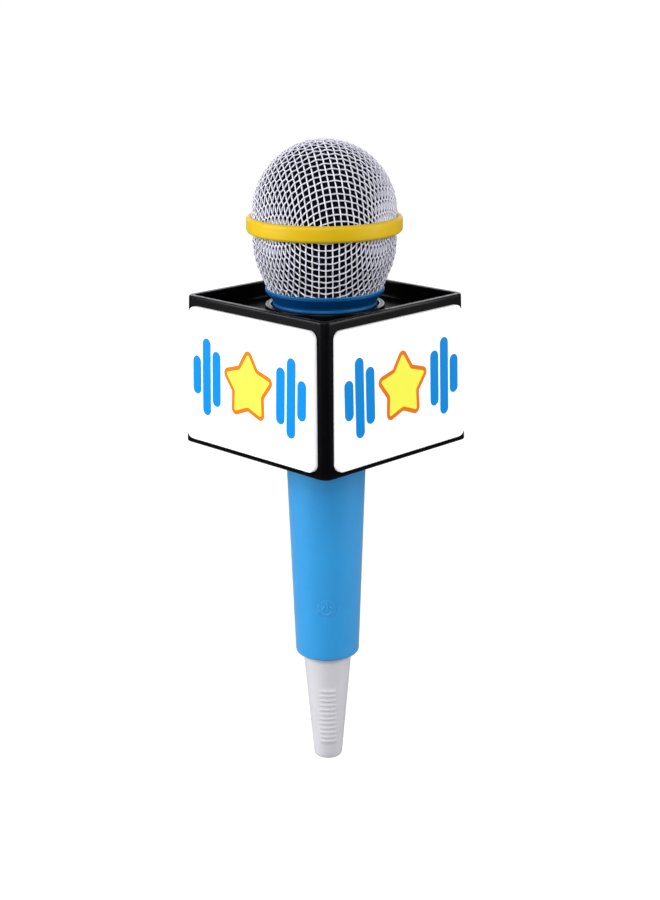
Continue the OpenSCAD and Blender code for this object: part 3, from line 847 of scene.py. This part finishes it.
def build_button():
    """A flush cap that follows the handle's surface, with a raised power symbol."""
    proud = 0.04
    rim = 0.16
    segments = 96
    cap_back = 10.3
    rings = [(r, 0.0) for r in np.linspace(0.5, button_r - rim, 9)]
    rings += arc(button_r - rim, rim, rim, -90, 0, 5)[1:]
    turns = [2 * math.pi * k / segments for k in range(segments)]
    verts = [on_handle(0.0, button_z, proud)]
    for r, drop in rings:
        verts += [on_handle(r * math.cos(a), button_z + r * math.sin(a), proud - drop) for a in turns]
    verts += [(button_r * math.cos(a), -cap_back, button_z + button_r * math.sin(a)) for a in turns]
    starts = range(1, len(verts), segments)
    faces = []
    for k in range(segments):
        n = (k + 1) % segments
        faces.append([0, 1 + k, 1 + n])
        for low, high in zip(starts, starts[1:]):
            faces.append([low + k, high + k, high + n, low + n])
    faces.append([starts[-1] + k for k in range(segments)])

    flange_r = 4.9
    flange_back = 9.96
    flange_front = 10.64
    flange = lathe(rounded([
        (0.0, flange_back), (flange_r, flange_back, 0.15),
        (flange_r, flange_front, 0.15), (0.0, flange_front),
    ]), segments)
    stem = cylinder(1.4, 9.78, 10.2, 32)

    line_r = 0.22
    ring = [on_handle(x, z, proud) for x, z in arc(0.0, button_z - 0.7, 1.68, 120, 420, 40)]
    bar = [on_handle(0.0, button_z + 2.4 * k / 8, proud) for k in range(9)]
    mark = joined(tube(ring, line_r, 12), tube(bar, line_r, 12))
    part = joined((verts, faces), moved(flange, button_axis), moved(stem, button_axis), mark)
    place(make("push_button", part), "button", looks["handle"], "blue_plastic", "power_button")


def build_tail():
    """The tail: a round tip, fine grip ribs at front and back, a shoulder and a threaded stub."""
    tip_r = 5.3
    top_r = 9.15
    tip_edge = 0.9
    shoulder = seam_z - 0.4
    shoulder_edge = 0.4
    stub_r = 7.4
    stub_top = tail_high.z
    seat_r = 5.98
    seat_h = 1.2
    bore_r = 4.98
    floor_z = 2.4
    wall = 1.6
    rib_first = 7.0
    rib_pitch = 1.97
    rib_count = 12
    rib_h = 1.2
    rib_w = 6.8
    rib_out = 0.14
    rib_last = rib_first + rib_pitch * (rib_count - 1) + rib_h

    def tail_r(z):
        return tip_r + (top_r - tip_r) * z / seam_z

    def rib(r, z, a):
        """Height of the grip ribs, which fade at both ends."""
        along = (z - rib_first) % rib_pitch
        if along > rib_h:
            return 0.0
        swell = math.sin(math.pi * along / rib_h) ** 0.7
        across = abs(a % math.pi - math.pi / 2) * r
        return rib_out * swell * min(1.0, max(0.0, (rib_w / 2 - across) / 0.5))

    def shape(r, z, a):
        if abs(r - stub_r) < SAME and z > seam_z:
            return r - tail_depth * (1 - thread(z, a, seam_z + 0.6, stub_top - 0.3, tail_pitch))
        if r > tail_r(z) - 0.3 and rib_first - 0.2 < z < rib_last + 0.2:
            return r + rib(r, z, a)
        return r

    outline = [(0.0, 0.0)] + arc(tip_r - tip_edge, tip_edge, tip_edge, -90, 0, 8)
    ends = (1.2, rib_first, rib_last, shoulder - 0.5)
    for low, high, step in zip(ends, ends[1:], (1.5, 0.12, 1.5)):
        outline += spaced([(tail_r(low), low), (tail_r(high), high)], step, closed=False)[:-1]
    outline.append((tail_r(ends[-1]), ends[-1]))
    outline += arc(tail_r(shoulder) - shoulder_edge, shoulder - shoulder_edge, shoulder_edge, 10, 90, 5)
    outline += [(stub_r - tail_depth, shoulder), (stub_r - tail_depth, seam_z)]
    outline += spaced([(stub_r, seam_z + 0.05), (stub_r, stub_top - 0.3)], THREAD_STEP, closed=False)
    outline += [(stub_r - 0.6, stub_top), (seat_r, stub_top), (seat_r, seam_z + seat_h)]
    outline += [(bore_r, seam_z + seat_h), (bore_r, seam_z)]
    outline += spaced([(bore_r, seam_z - 0.4), (tail_r(floor_z) - wall, floor_z)], 3.0, closed=False)
    outline.append((0.0, floor_z))
    obj = make("tail_body", lathe(outline, 256, shape))
    place(obj, "tail", looks["tail"], "white_plastic", "tail_shell")


# ---------------------------------------------------------------------------
# Head
# ---------------------------------------------------------------------------

def build_collar():
    """The bell-shaped collar, with the threaded neck that screws into the handle."""
    neck_r = 13.0
    bore_r = 11.6
    neck_z = collar_z - 10.0
    seat_z = 182.2
    floor_z = 181.4

    def shape(r, z, a):
        if abs(r - neck_r) < SAME and z < collar_z - 0.2:
            return r - neck_depth * (1 - thread(z, a, neck_z + 0.3, collar_z - 1.2, neck_pitch))
        return r

    z = collar_z
    top = collar_high.z
    body = rounded([
        (neck_r, z), (18.3, z, 0.3), (18.85, z + 0.55, 0.45), (18.45, z + 1.25, 0.4),
        (18.75, z + 2.0, 0.6), (20.3, z + 4.1, 1.5), (collar_r, z + 5.3, 0.35), (collar_r, top, 0.35),
        (20.85, top, 0.15), (20.1, seat_z, 0.4), (19.3, floor_z, 0.4), (bore_r, floor_z, 0.3),
        (bore_r, neck_z, 0.3), (neck_r - 0.5, neck_z), (neck_r, neck_z + 0.4),
    ], 6)
    obj = make("collar_body", lathe(with_threads(body, (neck_r,)), SEGMENTS, shape))
    place(obj, "head", looks["collar"], "blue_plastic", "grille_collar")


def build_band():
    """The band over the ball's seam, with a web that reaches in between its two halves."""
    web = 0.2
    web_r = 24.6
    inner = ball_r + 0.1
    outline = rounded([
        (inner, -band_half, 0.2), (band_r, -band_half, 1.25), (band_r, band_half, 1.25),
        (inner, band_half, 0.2), (inner, web), (web_r, web), (web_r, -web), (inner, -web),
    ], 7)
    outline = [(r, z + band_z) for r, z in outline]
    place(make("band_ring", lathe(outline, 256)), "head", looks["yellow"], "yellow_plastic", "grille_band")


def chebyshev_quadrant(step, count):
    """Crossings of a woven net laid on the unit sphere from its pole, equal steps along each wire."""
    points = np.full((count + 1, count + 1, 3), np.nan)
    chord = 1 - math.cos(step)
    for i in range(count + 1):
        if i * step > net_end:
            break
        points[i, 0] = (math.sin(i * step), 0, math.cos(i * step))
        points[0, i] = (0, math.sin(i * step), math.cos(i * step))
    for i in range(1, count + 1):
        for j in range(1, count + 1):
            a, b, old = points[i, j - 1], points[i - 1, j], points[i - 1, j - 1]
            if np.isnan(a).any() or np.isnan(b).any():
                continue
            middle = (a + b) * (1 - chord) / (1 + a @ b)
            left = 1 - middle @ middle
            if left <= 0:
                continue
            across = np.cross(a, b)
            across *= math.sqrt(left) / np.linalg.norm(across)
            options = (middle + across, middle - across)
            points[i, j] = max(options, key=lambda p: np.linalg.norm(p - old))
    return points


def crossing(quadrant, i, j):
    """Where wires i and j cross, mirrored from the quadrant."""
    x, y, z = quadrant[abs(i), abs(j)]
    return np.array((abs(x) * np.sign(i), abs(y) * np.sign(j), z))


def wire_runs(knots, side, turned, surface, reach):
    """The stretches of one wire within reach, each a list of points with their outward normals.

    knots are the wire's crossings, and side is 1 or -1 for over or under at crossing 0."""
    runs = [[]]
    for (s, p), (_, q) in zip(knots, knots[1:]):
        for share in np.arange(wire_parts) / wire_parts:
            u = p * (1 - share) + q * share
            u = turned @ (u / np.linalg.norm(u))
            angle = math.acos(max(-1.0, min(1.0, u[2])))
            if not reach[0] <= angle <= reach[1]:
                runs.append([])
                continue
            r, z, normal_r, normal_z = surface(angle)
            spin = math.atan2(u[1], u[0])
            point = np.array((math.cos(spin) * r, math.sin(spin) * r, z))
            normal = np.array((math.cos(spin) * normal_r, math.sin(spin) * normal_r, normal_z))
            swing = weave * side * math.cos(math.pi * (s + share))
            runs[-1].append((point + normal * swing, normal))
    return [run for run in runs if len(run) > wire_parts]


def wire(run):
    """A round wire along a run's points."""
    path, normals = (np.array(column) for column in zip(*run))
    tangent = np.gradient(path, axis=0)
    tangent /= np.linalg.norm(tangent, axis=1)[:, None]
    side = np.cross(tangent, normals)
    side /= np.linalg.norm(side, axis=1)[:, None]
    up = np.cross(side, tangent)
    turns = [2 * math.pi * k / wire_sides for k in range(wire_sides)]
    return skinned([
        [p + wire_r * (math.cos(a) * u + math.sin(a) * s) for a in turns]
        for p, u, s in zip(path, up, side)
    ])


def woven_half(name, step, surface, reach, yaw, lean):
    """Both families of wires over one half of the ball.

    surface(angle) gives the mesh's middle as radius and height, and its outward normal's two
    parts, at an angle from the pole. reach is the range of angles kept. The net's own pole is
    turned by yaw about Z, then leans by lean towards +X."""
    turned = Matrix.Rotation(math.radians(lean), 3, "Y") @ Matrix.Rotation(math.radians(yaw), 3, "Z")
    turned = np.array(turned)
    count = int(net_end / step)
    quadrant = chebyshev_quadrant(step, count)
    lines = range(-count, count + 1)
    wires = []
    for family in (0, 1):
        for line in lines:
            places = [(s, line) if family == 0 else (line, s) for s in lines]
            knots = [(s, crossing(quadrant, *place)) for s, place in zip(lines, places)]
            knots = [(s, p) for s, p in knots if not np.isnan(p).any()]
            side = 1 if (line + family) % 2 == 0 else -1
            wires += [wire(run) for run in wire_runs(knots, side, turned, surface, reach)]
    return make(name, joined(*wires), crease=60)


def build_mesh_upper():
    """The upper half: a straight wall at its rim, and the dome above it."""
    middle = ball_r - mesh_mid

    def surface(angle):
        if angle > math.pi / 2:
            return middle, dome_z - middle * (angle - math.pi / 2), 1.0, 0.0
        out = math.sin(angle)
        up = math.cos(angle)
        return middle * out, dome_z + middle * up, out, up

    last = math.pi / 2 + (dome_z - dome_low.z) / middle
    obj = woven_half("mesh_upper", mesh_pitch / middle, surface, (0.0, last), 8.0, -7.0)
    place(obj, "head", looks["wire"], "mesh_paint", "grille_upper")


def build_mesh_lower():
    """The lower half, measured from its rim down along the wall, the arc and the cone."""
    middle = cup_r - mesh_mid
    bend_r = cup_arc_r - mesh_mid
    cone = math.radians(cup_cone)
    centre = cup_r - cup_arc_r
    wall = cup_high.z - cup_arc_z
    bend = bend_r * cone
    cone_out = math.cos(cone)
    cone_down = math.sin(cone)
    cone_r = centre + bend_r * cone_out
    cone_z = cup_arc_z - bend_r * cone_down

    def surface(angle):
        s = wall + (math.pi / 2 - angle) * middle
        if s < wall:
            return middle, cup_high.z - s, 1.0, 0.0
        if s < wall + bend:
            out = math.cos((s - wall) / bend_r)
            down = math.sin((s - wall) / bend_r)
            return centre + bend_r * out, cup_arc_z - bend_r * down, out, -down
        past = s - wall - bend
        return cone_r - past * cone_down, cone_z - past * cone_out, cone_out, -cone_down

    first = math.pi / 2 - (bend + (cone_z - cup_foot_z) / cone_out) / middle
    last = math.pi / 2 + wall / middle
    obj = woven_half("mesh_lower", mesh_pitch / middle, surface, (first, last), 1.0, 0.0)
    place(obj, "head", looks["wire"], "mesh_paint", "grille_lower")


def build_foam():
    """Foam pressed up behind the wire, with a slightly uneven skin."""
    skin = ball_r - foam_high.x
    thick = 3.0

    def section(depth):
        """Foot, cone, arc and dome at a depth below the ball's outside, ending on the axis."""
        bend = arc(cup_r - cup_arc_r, cup_arc_z, cup_arc_r - depth, -cup_cone, 0, 14)
        foot_r = bend[0][0] - (bend[0][1] - foam_low.z) * math.tan(math.radians(cup_cone))
        dome = arc(0, dome_z, ball_r - depth, 0, 90, 40)
        return [(foot_r, foam_low.z), *bend, *dome[:-1], (0.0, dome[-1][1])]

    def shape(r, z, a):
        return r - 0.12 * (1 + math.sin(5 * a + z * 1.7) * math.cos(7 * a - z * 0.9)) / 2

    outline = section(skin)[::-1] + section(skin + thick)
    obj = make("foam_lining", lathe(outline, 128, shape), crease=50)
    place(obj, "head", looks["foam"], "foam", "foam_liner")


# ---------------------------------------------------------------------------
# Flag
# ---------------------------------------------------------------------------

def square_at(side, corner):
    """The outline of a rounded square as a function of how far it is drawn in."""
    def at(inset):
        return rounded_rect(side - 2 * inset, side - 2 * inset, max(corner - inset, 0.15), 10)
    return at


def build_flag():
    """The box: leaning walls, a recessed deck, four screw posts, and the tube round the handle."""
    overlap = 0.3
    wall_section = rounded([
        (0, flag_z, 0.45), (0, flag_top, 0.5), (flag_wall, flag_top, 0.45), (flag_wall, flag_z, 0.2),
    ], 5)
    wall = loft(square_at(flag_side, flag_corner), wall_section, closed=True)
    deck_outline = square_at(flag_side - 2 * (flag_wall - overlap), flag_corner - flag_wall + overlap)
    deck = loft(deck_outline, [(0, plate_top - plate_t), (0, plate_top)])

    post_r = 3.2
    post_low = base_low.z + base_t + 0.1
    post = lathe(rounded([
        (pilot_r, post_low), (post_r, post_low, 0.2), (post_r, plate_top - 1), (pilot_r, plate_top - 1),
    ]), 40)
    posts = [moved(post, Matrix.Translation((x, y, 0))) for x, y in four(post_xy, post_xy)]
    ring = lathe(rounded([
        (ring_bore, sleeve_z, 0.2), (ring_r, sleeve_z, 0.2), (ring_r, ring_top, 0.3),
        (lip_bore, ring_top, 0.3), (lip_bore, handle_top + 0.3, 0.2), (ring_bore, handle_top + 0.3),
    ]))

    obj = make("flag_box", moved(leaned(wall), flag_turn))
    carve(obj, [moved(part, flag_turn) for part in (leaned(deck), *posts)], "UNION")
    carve(obj, [cylinder(ring_r - overlap, sleeve_z - 5, flag_top)])
    carve(obj, [ring], "UNION")
    place(obj, "flag", looks["black"], "black_plastic", "flag_shell")


def build_flag_base():
    """The underside cover, with the tube that holds the sleeve up and four sunk screw holes."""
    low = base_low.z
    top = base_high.z
    side = 2 * (flag_half(low + base_t) - flag_wall - 0.1)
    board = plate(square_at(side, flag_corner - flag_wall + 0.4), low, low + base_t, 0.35, 0.1)
    obj = make("flag_underside", moved(board, flag_turn))

    tube_r = 18.2
    lip_r = 19.8
    lip_h = 1.5
    collar = lathe([
        (0.0, low + 0.5), (tube_r, low + 0.5), (tube_r, top - lip_h),
        (lip_r, top - lip_h), (lip_r, top), (0.0, top),
    ])
    carve(obj, [collar], "UNION")

    bore_r = 16.7
    mouth = 0.7
    bore = lathe([
        (0.0, low - 2), (bore_r + 0.9, low - 2), (bore_r + 0.9, low),
        *arc(bore_r + mouth, low + mouth, mouth, -90, -180, 5), (bore_r, top + 2), (0.0, top + 2),
    ])
    sink_r = 2.3
    sink_h = 1.2
    hole_r = 1.1
    sink = lathe([
        (0.0, low - 1), (sink_r + 0.15, low - 1), (sink_r + 0.15, low), (sink_r, low + 0.15),
        (sink_r, low + sink_h), (hole_r, low + sink_h), (hole_r, low + 4), (0.0, low + 4),
    ], 48)
    sinks = [moved(sink, flag_turn @ Matrix.Translation((x, y, 0))) for x, y in four(post_xy, post_xy)]
    carve(obj, [bore, *sinks])
    place(obj, "flag", looks["black"], "black_plastic", "flag_base")


def build_sleeve():
    """The foam sleeve between the flag's tube and the handle, with soft mouths and an uneven bore."""
    low = sleeve_z
    high = sleeve_high.z
    outer = sleeve_high.x
    gap = 0.12
    outline = rounded([
        (handle_r(low) + gap, low, 0.6), (outer, low, 0.4),
        (outer, high, 0.4), (handle_r(high) + gap, high, 0.6),
    ], 6)

    def shape(r, z, a):
        if r > outer - 0.5:
            return r
        return r + 0.05 * (1 + math.sin(9 * a + z * 1.3) * math.cos(5 * a - z * 0.8))

    obj = make("grip_sleeve", lathe(spaced(outline, 1.2), SEGMENTS, shape))
    place(obj, "flag", looks["foam"], "foam", "flag_sleeve")


def screw(head_r, head_h, shaft_r, length):
    """A pan-head screw standing on its head, threaded, with its cross recess facing down."""
    pitch = 0.8
    depth = 0.22
    tip = head_h + length
    rim = 0.45

    def shape(r, z, a):
        if abs(r - shaft_r) < SAME:
            return r - depth * (1 - thread(z, a, head_h, tip, pitch))
        return r

    def arm_at(inset):
        return rounded_rect(2.6 - inset, 0.46 - inset * 0.4, 0.05, 2)

    outline = [(0.0, 0.0)] + arc(head_r - rim, rim, rim, -90, 0, 5)
    outline += [(head_r, head_h), (shaft_r, head_h)]
    outline += spaced([(shaft_r, head_h + 0.05), (shaft_r, tip - 0.5)], 0.13, closed=False)
    outline += [(0.15, tip), (0.0, tip)]
    obj = make("tool_screw", lathe(outline, 32, shape))
    arm = loft(arm_at, [(0.0, -0.5), (0.5, 0.6)])
    carve(obj, [moved(arm, Matrix.Rotation(math.radians(turn), 4, "Z")) for turn in (0, 90)])
    part = ([tuple(v.co / MM) for v in obj.data.vertices], [list(p.vertices) for p in obj.data.polygons])
    bpy.data.objects.remove(obj)
    return part


def build_flag_screws():
    one = screw(2.1, 1.08, 0.85, 7.9)
    parts = []
    for i, (x, y) in enumerate(four(post_xy, post_xy)):
        spot = Matrix.Translation((x, y, screw_low.z)) @ Matrix.Rotation(0.7 * i, 4, "Z")
        parts.append(moved(one, flag_turn @ spot))
    place(make("flag_screw_set", joined(*parts)), "flag", looks["steel"], "steel", "flag_screws")


def bar_outline(cx, w, h):
    """An upright bar with round ends."""
    return [(x + cx, y) for x, y in rounded_rect(w, h, w / 2 - 0.01)]


def star_outline(inset):
    """A soft five-pointed star, centred on the origin, one point up, drawn in by an inset."""
    outer = 14.6
    inner = 8.6
    tip_r = 2.2
    dip_r = 0.8
    turn = math.pi / 5
    edge = math.sqrt(outer ** 2 + inner ** 2 - 2 * outer * inner * math.cos(turn))
    scale = 1 - inset * edge / (outer * inner * math.sin(turn))
    corners = []
    for k in range(5):
        a = math.pi / 2 + 2 * turn * k
        corners.append((outer * scale * math.cos(a), outer * scale * math.sin(a), tip_r - inset))
        a += turn
        corners.append((inner * scale * math.cos(a), inner * scale * math.sin(a), dip_r + inset))
    return rounded(corners, 6)


def build_faces():
    """White face plates on pegs, the printed film on each, and a star with level bars as the print."""
    ink_t = 0.03
    margin = 0.5
    bars = [(16.4, 20.0), (21.6, 28.0), (26.8, 14.0)]
    bar_w = 4.3
    star_edge = 1.5
    peg_r = 1.2
    peg_end = -2.1
    top = panel_t + film_t

    peg = lathe(rounded([(0.0, 0.2), (peg_r, 0.2), (peg_r, peg_end, 0.3), (0.0, peg_end)]), 32)
    pegs = [moved(peg, Matrix.Translation((x, y, 0))) for x, y in four(peg_x, peg_y)]
    face = joined(plate(panel_outline, 0.02, panel_t, 0.15, 0.35, 6), *pegs)
    cover = plate(lambda inset: panel_outline(margin + inset), panel_t, top, 0.0, 0.07, 3)
    levels = [bar_outline(side_x * x, bar_w, h) for side_x in (-1, 1) for x, h in bars]
    prints = {
        "ink_orange": flat_print(star_outline(0.0), top, ink_t),
        "ink_yellow": flat_print(star_outline(star_edge), top, ink_t * 2),
        "ink_blue": joined(*[flat_print(bar, top, ink_t) for bar in levels]),
    }
    for i, side in enumerate(SIDES):
        spot = side_matrix(i)
        obj = make("face_plate_" + side, moved(face, spot))
        place(obj, "flag", looks["panel"], "panel_white", "panel_" + side)
        obj = make("face_film_" + side, moved(cover, spot))
        place(obj, "flag", looks["film"], "label_print", "label_" + side)
        for look, part in prints.items():
            obj = make(look.replace("ink", "print") + "_" + side, moved(part, spot))
            place(obj, "flag", looks[look], "label_print")


def flat_print(outline, low, thick):
    """A layer of ink of some thickness inside an outline."""
    return skinned([[(x, y, z) for x, y in outline] for z in (low, low + thick)])


# ---------------------------------------------------------------------------
# Stage, light and camera
# ---------------------------------------------------------------------------

def camera_only(tree, seen, other):
    """Picks one shader for what the camera sees and another for the light it gives."""
    mix = tree.nodes.new("ShaderNodeMixShader")
    path = tree.nodes.new("ShaderNodeLightPath")
    tree.links.new(path.outputs["Is Camera Ray"], mix.inputs[0])
    tree.links.new(other.outputs[0], mix.inputs[1])
    tree.links.new(seen.outputs[0], mix.inputs[2])
    return mix.outputs[0]


def build_floor():
    """A pale floor that reads as white paper, throws little light back and is clear from below."""
    half = 30.0
    floor_z = cad_low.z - 0.3
    mesh = bpy.data.meshes.new("floor")
    corners = [(-half, -half), (half, -half), (half, half), (-half, half)]
    mesh.from_pydata([(x, y, floor_z) for x, y in corners], [], [[0, 1, 2, 3]])
    floor = bpy.data.objects.new("floor", mesh)
    bpy.context.scene.collection.objects.link(floor)
    material = bpy.data.materials.new("pale_floor")
    material.use_nodes = True
    tree = material.node_tree
    plain = tree.nodes.new("ShaderNodeBsdfDiffuse")
    plain.inputs["Color"].default_value = (0.25, 0.25, 0.26, 1)
    faint = tree.nodes.new("ShaderNodeBsdfDiffuse")
    faint.inputs["Color"].default_value = (0.2, 0.2, 0.2, 1)
    glow = tree.nodes.new("ShaderNodeEmission")
    glow.inputs["Strength"].default_value = 1.0
    both = tree.nodes.new("ShaderNodeAddShader")
    tree.links.new(faint.outputs[0], both.inputs[0])
    tree.links.new(glow.outputs[0], both.inputs[1])
    below = tree.nodes.new("ShaderNodeMixShader")
    tree.links.new(tree.nodes.new("ShaderNodeNewGeometry").outputs["Backfacing"], below.inputs[0])
    tree.links.new(camera_only(tree, both, plain), below.inputs[1])
    tree.links.new(tree.nodes.new("ShaderNodeBsdfTransparent").outputs[0], below.inputs[2])
    tree.links.new(below.outputs[0], tree.nodes["Material Output"].inputs["Surface"])
    mesh.materials.append(material)


def build_world():
    """White to the camera. What it lights the object with is dim, but for a bright patch behind it."""
    world = bpy.data.worlds.new("studio")
    bpy.context.scene.world = world
    world.use_nodes = True
    tree = world.node_tree
    seen = tree.nodes.new("ShaderNodeBackground")
    seen.inputs["Strength"].default_value = 1.0
    seen.inputs["Color"].default_value = (1, 1, 1, 1)
    soft = tree.nodes["Background"]
    soft.inputs["Color"].default_value = (1, 1, 1, 1)
    toward = tree.nodes.new("ShaderNodeSeparateXYZ")
    tree.links.new(tree.nodes.new("ShaderNodeTexCoord").outputs["Generated"], toward.inputs[0])
    backdrop = tree.nodes.new("ShaderNodeMapRange")
    backdrop.inputs["From Min"].default_value = 0.8
    backdrop.inputs["From Max"].default_value = 0.95
    backdrop.inputs["To Min"].default_value = 0.2
    backdrop.inputs["To Max"].default_value = 2.4
    tree.links.new(toward.outputs["Y"], backdrop.inputs["Value"])
    tree.links.new(backdrop.outputs["Result"], soft.inputs["Strength"])
    tree.links.new(camera_only(tree, seen, soft), tree.nodes["World Output"].inputs["Surface"])


def soft_light(name, azimuth, elevation, distance, width, height, power):
    """A softbox aimed at the middle of the microphone. Azimuth 0 is along +X."""
    aim = Vector((0, 0, 0.14))
    a = math.radians(azimuth)
    e = math.radians(elevation)
    away = Vector((math.cos(e) * math.cos(a), math.cos(e) * math.sin(a), math.sin(e)))
    data = bpy.data.lights.new(name, "AREA")
    data.shape = "RECTANGLE"
    data.size = width
    data.size_y = height
    data.energy = power
    obj = bpy.data.objects.new(name, data)
    obj.location = aim + away * distance
    obj.rotation_euler = away.to_track_quat("Z", "Y").to_euler()
    bpy.context.scene.collection.objects.link(obj)


def build_lights():
    soft_light("key", 196, 18, 0.9, 0.7, 0.6, 9.5)
    soft_light("fill", -16, 16, 0.9, 0.7, 0.6, 6.2)
    soft_light("front", 262, 30, 1.2, 0.8, 0.8, 6.6)


def build_camera():
    data = bpy.data.cameras.new("camera")
    data.sensor_width = 36.0
    data.lens = 66.2
    data.clip_start = 0.01
    data.clip_end = 20.0
    cam = bpy.data.objects.new("camera", data)
    aim = Vector((0.00144, 0.0, 0.12294))
    distance = 0.609
    tilt = math.radians(16.75)
    roll = math.radians(-0.372)
    level = Matrix.Rotation(math.pi / 2 - tilt, 4, "X")
    back_off = Matrix.Translation((0, 0, distance))
    cam.matrix_world = Matrix.Translation(aim) @ level @ Matrix.Rotation(roll, 4, "Z") @ back_off
    bpy.context.scene.collection.objects.link(cam)
    bpy.context.scene.camera = cam
    bpy.context.scene.view_settings.view_transform = "Standard"


paint_kept_nodes()
build_handle()
build_button()
build_tail()
build_collar()
build_band()
build_mesh_upper()
build_mesh_lower()
build_foam()
build_flag()
build_flag_base()
build_sleeve()
build_flag_screws()
build_faces()
build_floor()
build_world()
build_lights()
build_camera()
